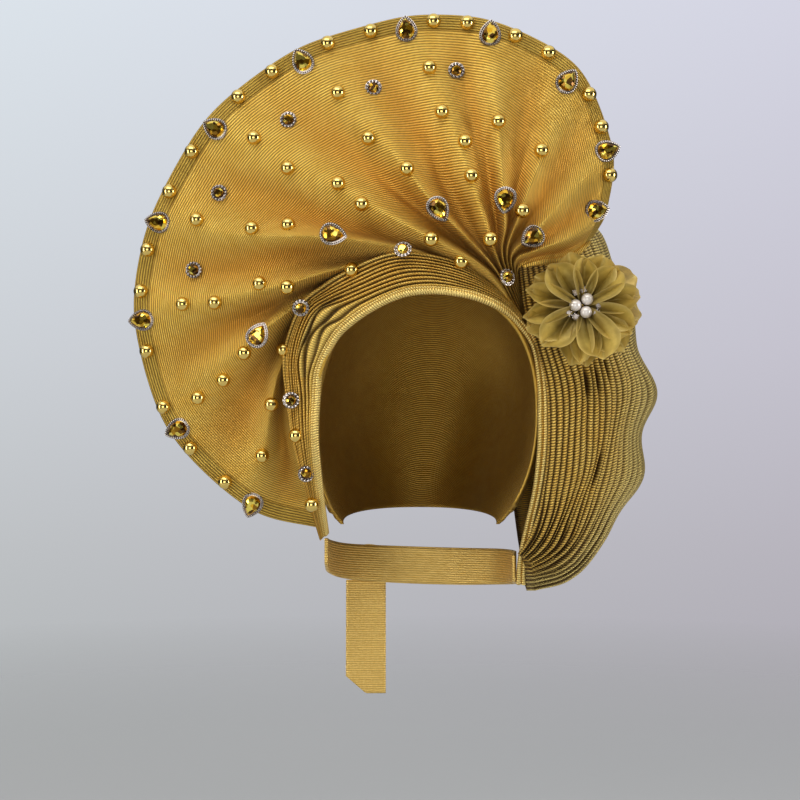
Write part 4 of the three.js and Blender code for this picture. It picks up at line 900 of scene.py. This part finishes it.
glass = Graph(bpy.data.materials.new("amber_glass"))
within = glass.node("ShaderNodeTexCoord").outputs["Object"]
painted_flash = glass.node("ShaderNodeTexVoronoi", {"Vector": within, "Scale": 380.0})
painted_flash_share = glass.node("ShaderNodeSeparateColor", {"Color": painted_flash.outputs["Color"]})
amber_glass = glass.finish(Base_Color=glass.ramp(painted_flash_share.outputs["Red"], AMBER_AND_PAINTED_FLASHES), Metallic=0.92,
                           Roughness=0.07, Coat_Weight=0.3, Coat_Roughness=0.02)
silver = Graph(bpy.data.materials.new("silver_beads"))
wear = silver.noise(Scale=700.0, Detail=2.0)
silver_tone = silver.ramp(wear, [(0.35, (0.26, 0.22, 0.2)), (0.65, (0.68, 0.62, 0.57))])
silver_beads = silver.finish(Base_Color=silver_tone, Metallic=1.0, Roughness=0.2)


# A round or pear outline of a stone, scaled about its middle and then grown by a width.
def outline(size, scale, grow, count):
    a = np.arange(count) * 2 * math.pi / count
    pinch = 1.22 * np.sin(a / 2) ** 0.8 if size["length"] > size["width"] else 1.0
    x = scale * size["length"] * np.cos(a) / 2 + grow * np.cos(a)
    y = scale * size["width"] * np.sin(a) * pinch / 2 + grow * np.sin(a)
    return np.stack([x, y], -1)


def cut_stone(size):
    sides = CUT["sides"]
    heights = [CUT["girdle"], *(size["height"] * share for share in CUT["heights"]), size["height"]]
    points = [(x, y, z) for scale, z in zip(CUT["scales"], heights)
              for x, y in outline(size, scale, 0.0, sides)]
    faces = []
    for number, (a, b, c, d) in enumerate(ring_quads(len(heights), sides)):
        row, k = divmod(number, sides)
        if row == 0:
            faces.append((a, b, c, d))
        elif (k + row) % 2:
            faces += [(a, b, c), (a, c, d)]
        else:
            faces += [(a, b, d), (b, c, d)]
    faces.append(tuple(range(3 * sides, 4 * sides)))
    faces.append(tuple(range(sides - 1, -1, -1)))
    return points, faces


def bead(x, y, z, r):
    count = BEADS["around"]
    points = [(x, y, z - r)]
    for b in (-0.7, 0, 0.7):
        points += [(x + r * math.cos(b) * math.cos(k * 2 * math.pi / count),
                    y + r * math.cos(b) * math.sin(k * 2 * math.pi / count), z + r * math.sin(b))
                   for k in range(count)]
    points.append((x, y, z + r))
    upper = 1 + 2 * count
    faces = [(0, 1 + (k + 1) % count, 1 + k) for k in range(count)]
    faces += [[1 + i for i in quad] for quad in ring_quads(3, count)]
    faces += [(upper + k, upper + (k + 1) % count, upper + count) for k in range(count)]
    return points, faces


def setting(size):
    sides = SETTING_SIDES
    points = [(x, y, z) for grow, z in SETTING for x, y in outline(size, 1, grow, sides)]
    faces = ring_quads(len(SETTING), sides)
    faces += [tuple(range(2 * sides, 3 * sides)), tuple(range(sides - 1, -1, -1))]
    parts = [(*cut_stone(size), 0), (points, faces, 1)]
    ring = outline(size, 1, BEADS["out"], 720)
    ring = np.concatenate([ring, ring[:1]])
    gone = distances(ring, 0)
    for k in range(size["beads"]):
        x, y = [np.interp(gone[-1] * k / size["beads"], gone, ring[:, axis]) for axis in (0, 1)]
        radius = min(gone[-1] / size["beads"] / 2 * BEADS["share"], BEADS["largest"])
        parts.append((*bead(x, y, BEADS["height"], radius), 1))
    return parts


# Where a node lies, turned a little towards the front: its middle low down, its long direction, its
# width and the way it faces.
def lie_of(name, turn):
    points = np.array([v.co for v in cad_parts[name].data.vertices])
    points = np.unique(points.round(6), axis=0)
    middle = (points.min(0) + points.max(0)) / 2
    axes = np.linalg.svd(points - points.mean(0), full_matrices=False)[2]
    facing = Vector(axes[2]) if axes[2][1] < 0 else -Vector(axes[2])
    facing = (facing + Vector((0, -TOWARDS_FRONT, 0))).normalized()
    wanted = Vector((math.cos(math.radians(turn)), 0, math.sin(math.radians(turn))))
    long = (wanted - facing * wanted.dot(facing)).normalized()
    heights = (points - points.mean(0)) @ np.array(facing)
    base = Vector(middle) + facing * float(heights.min())
    return base, Matrix((long, facing.cross(long), facing)).transposed()


for kind, turns in TURNS.items():
    for i, turn in enumerate(turns):
        node = f"{kind}_{i + 1}"
        lie = lie_of(node, turn)
        parts = [(placed(points, *lie), faces, material)
                 for points, faces, material in setting(PEAR if "pear" in kind else ROUND)]
        crystal = merged(f"{node}_set", parts, [amber_glass, silver_beads], smooth=False)
        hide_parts(node)

# The flower is cut from olive-gold organza: two rounds of petals, each petal cupped along its length,
# pinched together at the heart and stitched there. A row gives a petal's direction in degrees, its
# length, half its width, how far its edges stand forward, and how far it leans to one side.
FLOWER = dict(x=86, z=-32.5, rise=9, rows=26, columns=25, back=1, ply=0.3)
FRONT_PETALS = [
    (8, 35, 9, 7, 0.5), (47, 31, 10, 8, -0.5), (86, 29, 8, 8, 0.6), (130, 32, 11, 9, 0.4),
    (166, 36, 7, 7, -0.3), (190, 37, 7, 6, 0.5), (226, 35, 11, 8, -0.6), (291, 35, 13, 9, 0.5),
    (330, 34, 11, 7, 0.3),
]
BACK_PETALS = [
    (28, 37, 13, 4, 0.3), (68, 33, 12, 5, -0.4), (103, 33, 12, 5, 0.3), (148, 34, 13, 4, 0.5),
    (205, 37, 13, 5, -0.3), (258, 37, 11, 6, 0.5), (275, 37, 10, 6, -0.5), (312, 37, 12, 4, 0.3),
    (350, 36, 12, 5, -0.3),
]
# Painted shade darkens the organza in the heart and in the gathers (depth), and a painted highlight
# makes it paler along a petal's edge (painted light). A little light comes through it.
organza = Graph(bpy.data.materials.new("organza"))
petal_map = organza.node("ShaderNodeUVMap", uv_map="weave").outputs["UV"]
mottle = organza.noise(Vector=petal_map, Scale=0.12, Detail=4.0)
petal_tone = organza.ramp(mottle, [(0.3, (0.5, 0.34, 0.045)), (0.7, (0.86, 0.63, 0.13))])
petal_tone = organza.blend(organza.mesh_value("depth"), petal_tone, (0.06, 0.03, 0.002, 1))
petal_tone = organza.blend(organza.mesh_value("painted_light"), petal_tone, (0.95, 0.76, 0.28, 1))
organza.finish(Base_Color=petal_tone, Metallic=0.25, Roughness=0.42, Sheen_Weight=0.1, Alpha=0.95)
through_light = organza.node("ShaderNodeBsdfTranslucent", {"Color": petal_tone})
both = organza.node("ShaderNodeMixShader", {"Fac": 0.12})
organza.put(both.inputs[1], organza.tree.nodes["Principled BSDF"].outputs[0])
organza.put(both.inputs[2], through_light.outputs[0])
organza.put(organza.tree.nodes["Material Output"].inputs["Surface"], both.outputs[0])


# A petal's grid: r runs from the heart to the tip, and a across from edge to edge.
def petal(direction, length, half, curl, lean, y0):
    r, a = np.meshgrid(np.linspace(0.04, 1, FLOWER["rows"]), np.linspace(-1, 1, FLOWER["columns"]),
                       indexing="ij")
    open_share = 0.16 + 0.84 * np.sin(math.pi / 2 * np.minimum(r / 0.68, 1))
    rounding = np.sqrt(1 - 0.8 * np.clip((r - 0.62) / 0.38, 0, 1) ** 2)
    along = length * r * (1 - 0.08 * a**2 * r**2 + 0.012 * np.cos(5 * a + 3 * lean) * r**4)
    across = half * a * open_share * rounding + lean * 2.5 * r**2
    leaning = 1 + 0.5 * lean * np.sign(a)
    cup = 1.25 * curl * np.abs(a) ** 1.5 * leaning * np.sin(math.pi / 2 * np.minimum(r / 0.45, 1))
    ruffle = 1.4 * np.sin(4.5 * a + 7 * lean + 2 * r) * r**2.5
    pinches = np.cos(7.5 * a + 5 * lean)
    gathers = 1.1 * pinches * np.sin(math.pi * r**0.8) * (1 - 0.4 * r)
    forward = FLOWER["rise"] * r**1.3 * (1 - 0.35 * r**3) + cup * (1 - 0.3 * r**3) + ruffle + gathers
    angle = math.radians(direction)
    x = FLOWER["x"] + along * math.cos(angle) - across * math.sin(angle)
    z = FLOWER["z"] + along * math.sin(angle) + across * math.cos(angle)
    painted_heart_shade = np.clip(1.3 - 1.4 * r, 0, 1) * (1 - 0.7 * np.abs(a) ** 1.5)
    painted_heart_shade = np.maximum(painted_heart_shade, 0.8 * (0.5 - 0.5 * pinches) * (1 - 0.75 * r))
    painted_edge_highlight = 0.45 * np.maximum(np.abs(a) ** 8, r**9)
    return np.stack([x, y0 - forward, z], -1), np.stack([r * length, a * half], -1), painted_heart_shade, painted_edge_highlight


for node, rows in (("flower_back", BACK_PETALS), ("flower_front", FRONT_PETALS)):
    y0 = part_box(node)[1].y / MM - FLOWER["back"]
    grids = [petal(*row, y0 - FLOWER["ply"] * (k % 2)) for k, row in enumerate(rows)]
    at = numbered(FLOWER["rows"], FLOWER["columns"])
    faces = np.concatenate([quads(at) + k * at.size for k in range(len(rows))]).tolist()
    points, uvs, heart_shades, edge_highlights = [np.concatenate([g[i].reshape(at.size, -1) for g in grids])
                                  for i in range(4)]
    petals = mesh_piece(f"{node}_petals", points * MM, faces, [organza.owner], uvs, heart_shades,
                        painted_light=edge_highlights)
    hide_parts(node)

# Three ivory beads are stitched into the flower's middle. They have a soft nacre coat, and painted shade
# darkens them behind, where they sink into the petals.
BEAD = dict(rings=15, around=24, shade=0.7)
pearl = Graph(bpy.data.materials.new("pearl"))
nacre = pearl.noise(Scale=260.0, Detail=2.0)
pearl_tone = pearl.ramp(nacre, [(0.35, (0.86, 0.78, 0.7)), (0.65, (0.95, 0.9, 0.85))])
pearl_tone = pearl.blend(pearl.mesh_value("depth"), pearl_tone, (0.3, 0.22, 0.14, 1))
pearl_coat = pearl.finish(Base_Color=pearl_tone, Metallic=0.25, Roughness=0.24, Coat_Weight=0.8,
                          Coat_Roughness=0.06)
for i in (1, 2, 3):
    low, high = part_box(f"pearl_{i}")
    middle, radius = (low + high) / 2, (high - low).y / 2
    spots = [(b, k * 2 * math.pi / BEAD["around"]) for b in np.linspace(0, math.pi, BEAD["rings"])
             for k in range(BEAD["around"])]
    points = [middle + radius * Vector((math.sin(b) * math.cos(a), -math.cos(b), math.sin(b) * math.sin(a)))
              for b, a in spots]
    behind = [BEAD["shade"] * (b / math.pi) ** 1.3 for b, a in spots]
    ivory = mesh_piece(f"pearl_bead_{i}", points, ring_quads(BEAD["rings"], BEAD["around"]), [pearl_coat],
                       depth=behind)
    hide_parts(f"pearl_{i}")

# Between the ivory beads stand three pairs of small clear stones. Each stone has four silver claws,
# and a short wire joins the two of a pair. SPRIG_TURNS gives a pair's direction in degrees.
SPRIG = dict(length=3.9, width=3.9, height=3.4)
SPRIG_TURNS = (20, 72, -27)
CLAW = dict(from_middle=2.5, out=1.9, height=1.9, radius=0.55)
WIRE = dict(radius=0.7, stretch=3.0)
# The clear stones' colour is painted sparkle: bright and grey patches, by the way each facet faces, stand in
# for reflections.
clear = Graph(bpy.data.materials.new("clear_stone"))
facet = clear.node("ShaderNodeNewGeometry").outputs["Normal"]
painted_sparkle = clear.node("ShaderNodeTexVoronoi", {"Vector": facet, "Scale": 3.0})
clear_tone = clear.ramp(painted_sparkle.outputs["Distance"], [
    (0.1, (1.0, 0.98, 0.96)), (0.5, (0.6, 0.52, 0.48)), (0.8, (0.95, 0.9, 0.87))])
clear_stone = clear.finish(Base_Color=clear_tone, Metallic=0.4, Roughness=0.1, Coat_Weight=1.0)
for i, turn in enumerate(SPRIG_TURNS):
    lie = lie_of(f"sprig_{i + 1}", turn)
    parts = []
    for way in (-1, 1):
        shift = way * CLAW["from_middle"]
        stone, stone_faces = cut_stone(SPRIG)
        parts.append((placed([(x + shift, y, z) for x, y, z in stone], *lie), stone_faces, 0))
        for k in range(4):
            a = math.pi / 4 + k * math.pi / 2
            claw, claw_faces = bead(shift + CLAW["out"] * math.cos(a), CLAW["out"] * math.sin(a),
                                    CLAW["height"], CLAW["radius"])
            parts.append((placed(claw, *lie), claw_faces, 1))
    wire, wire_faces = bead(0, 0, WIRE["radius"], WIRE["radius"])
    parts.append((placed([(x * WIRE["stretch"], y, z) for x, y, z in wire], *lie), wire_faces, 1))
    sprig = merged(f"sprig_stones_{i + 1}", parts, [clear_stone, silver_beads], smooth=False)
    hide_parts(f"sprig_{i + 1}")
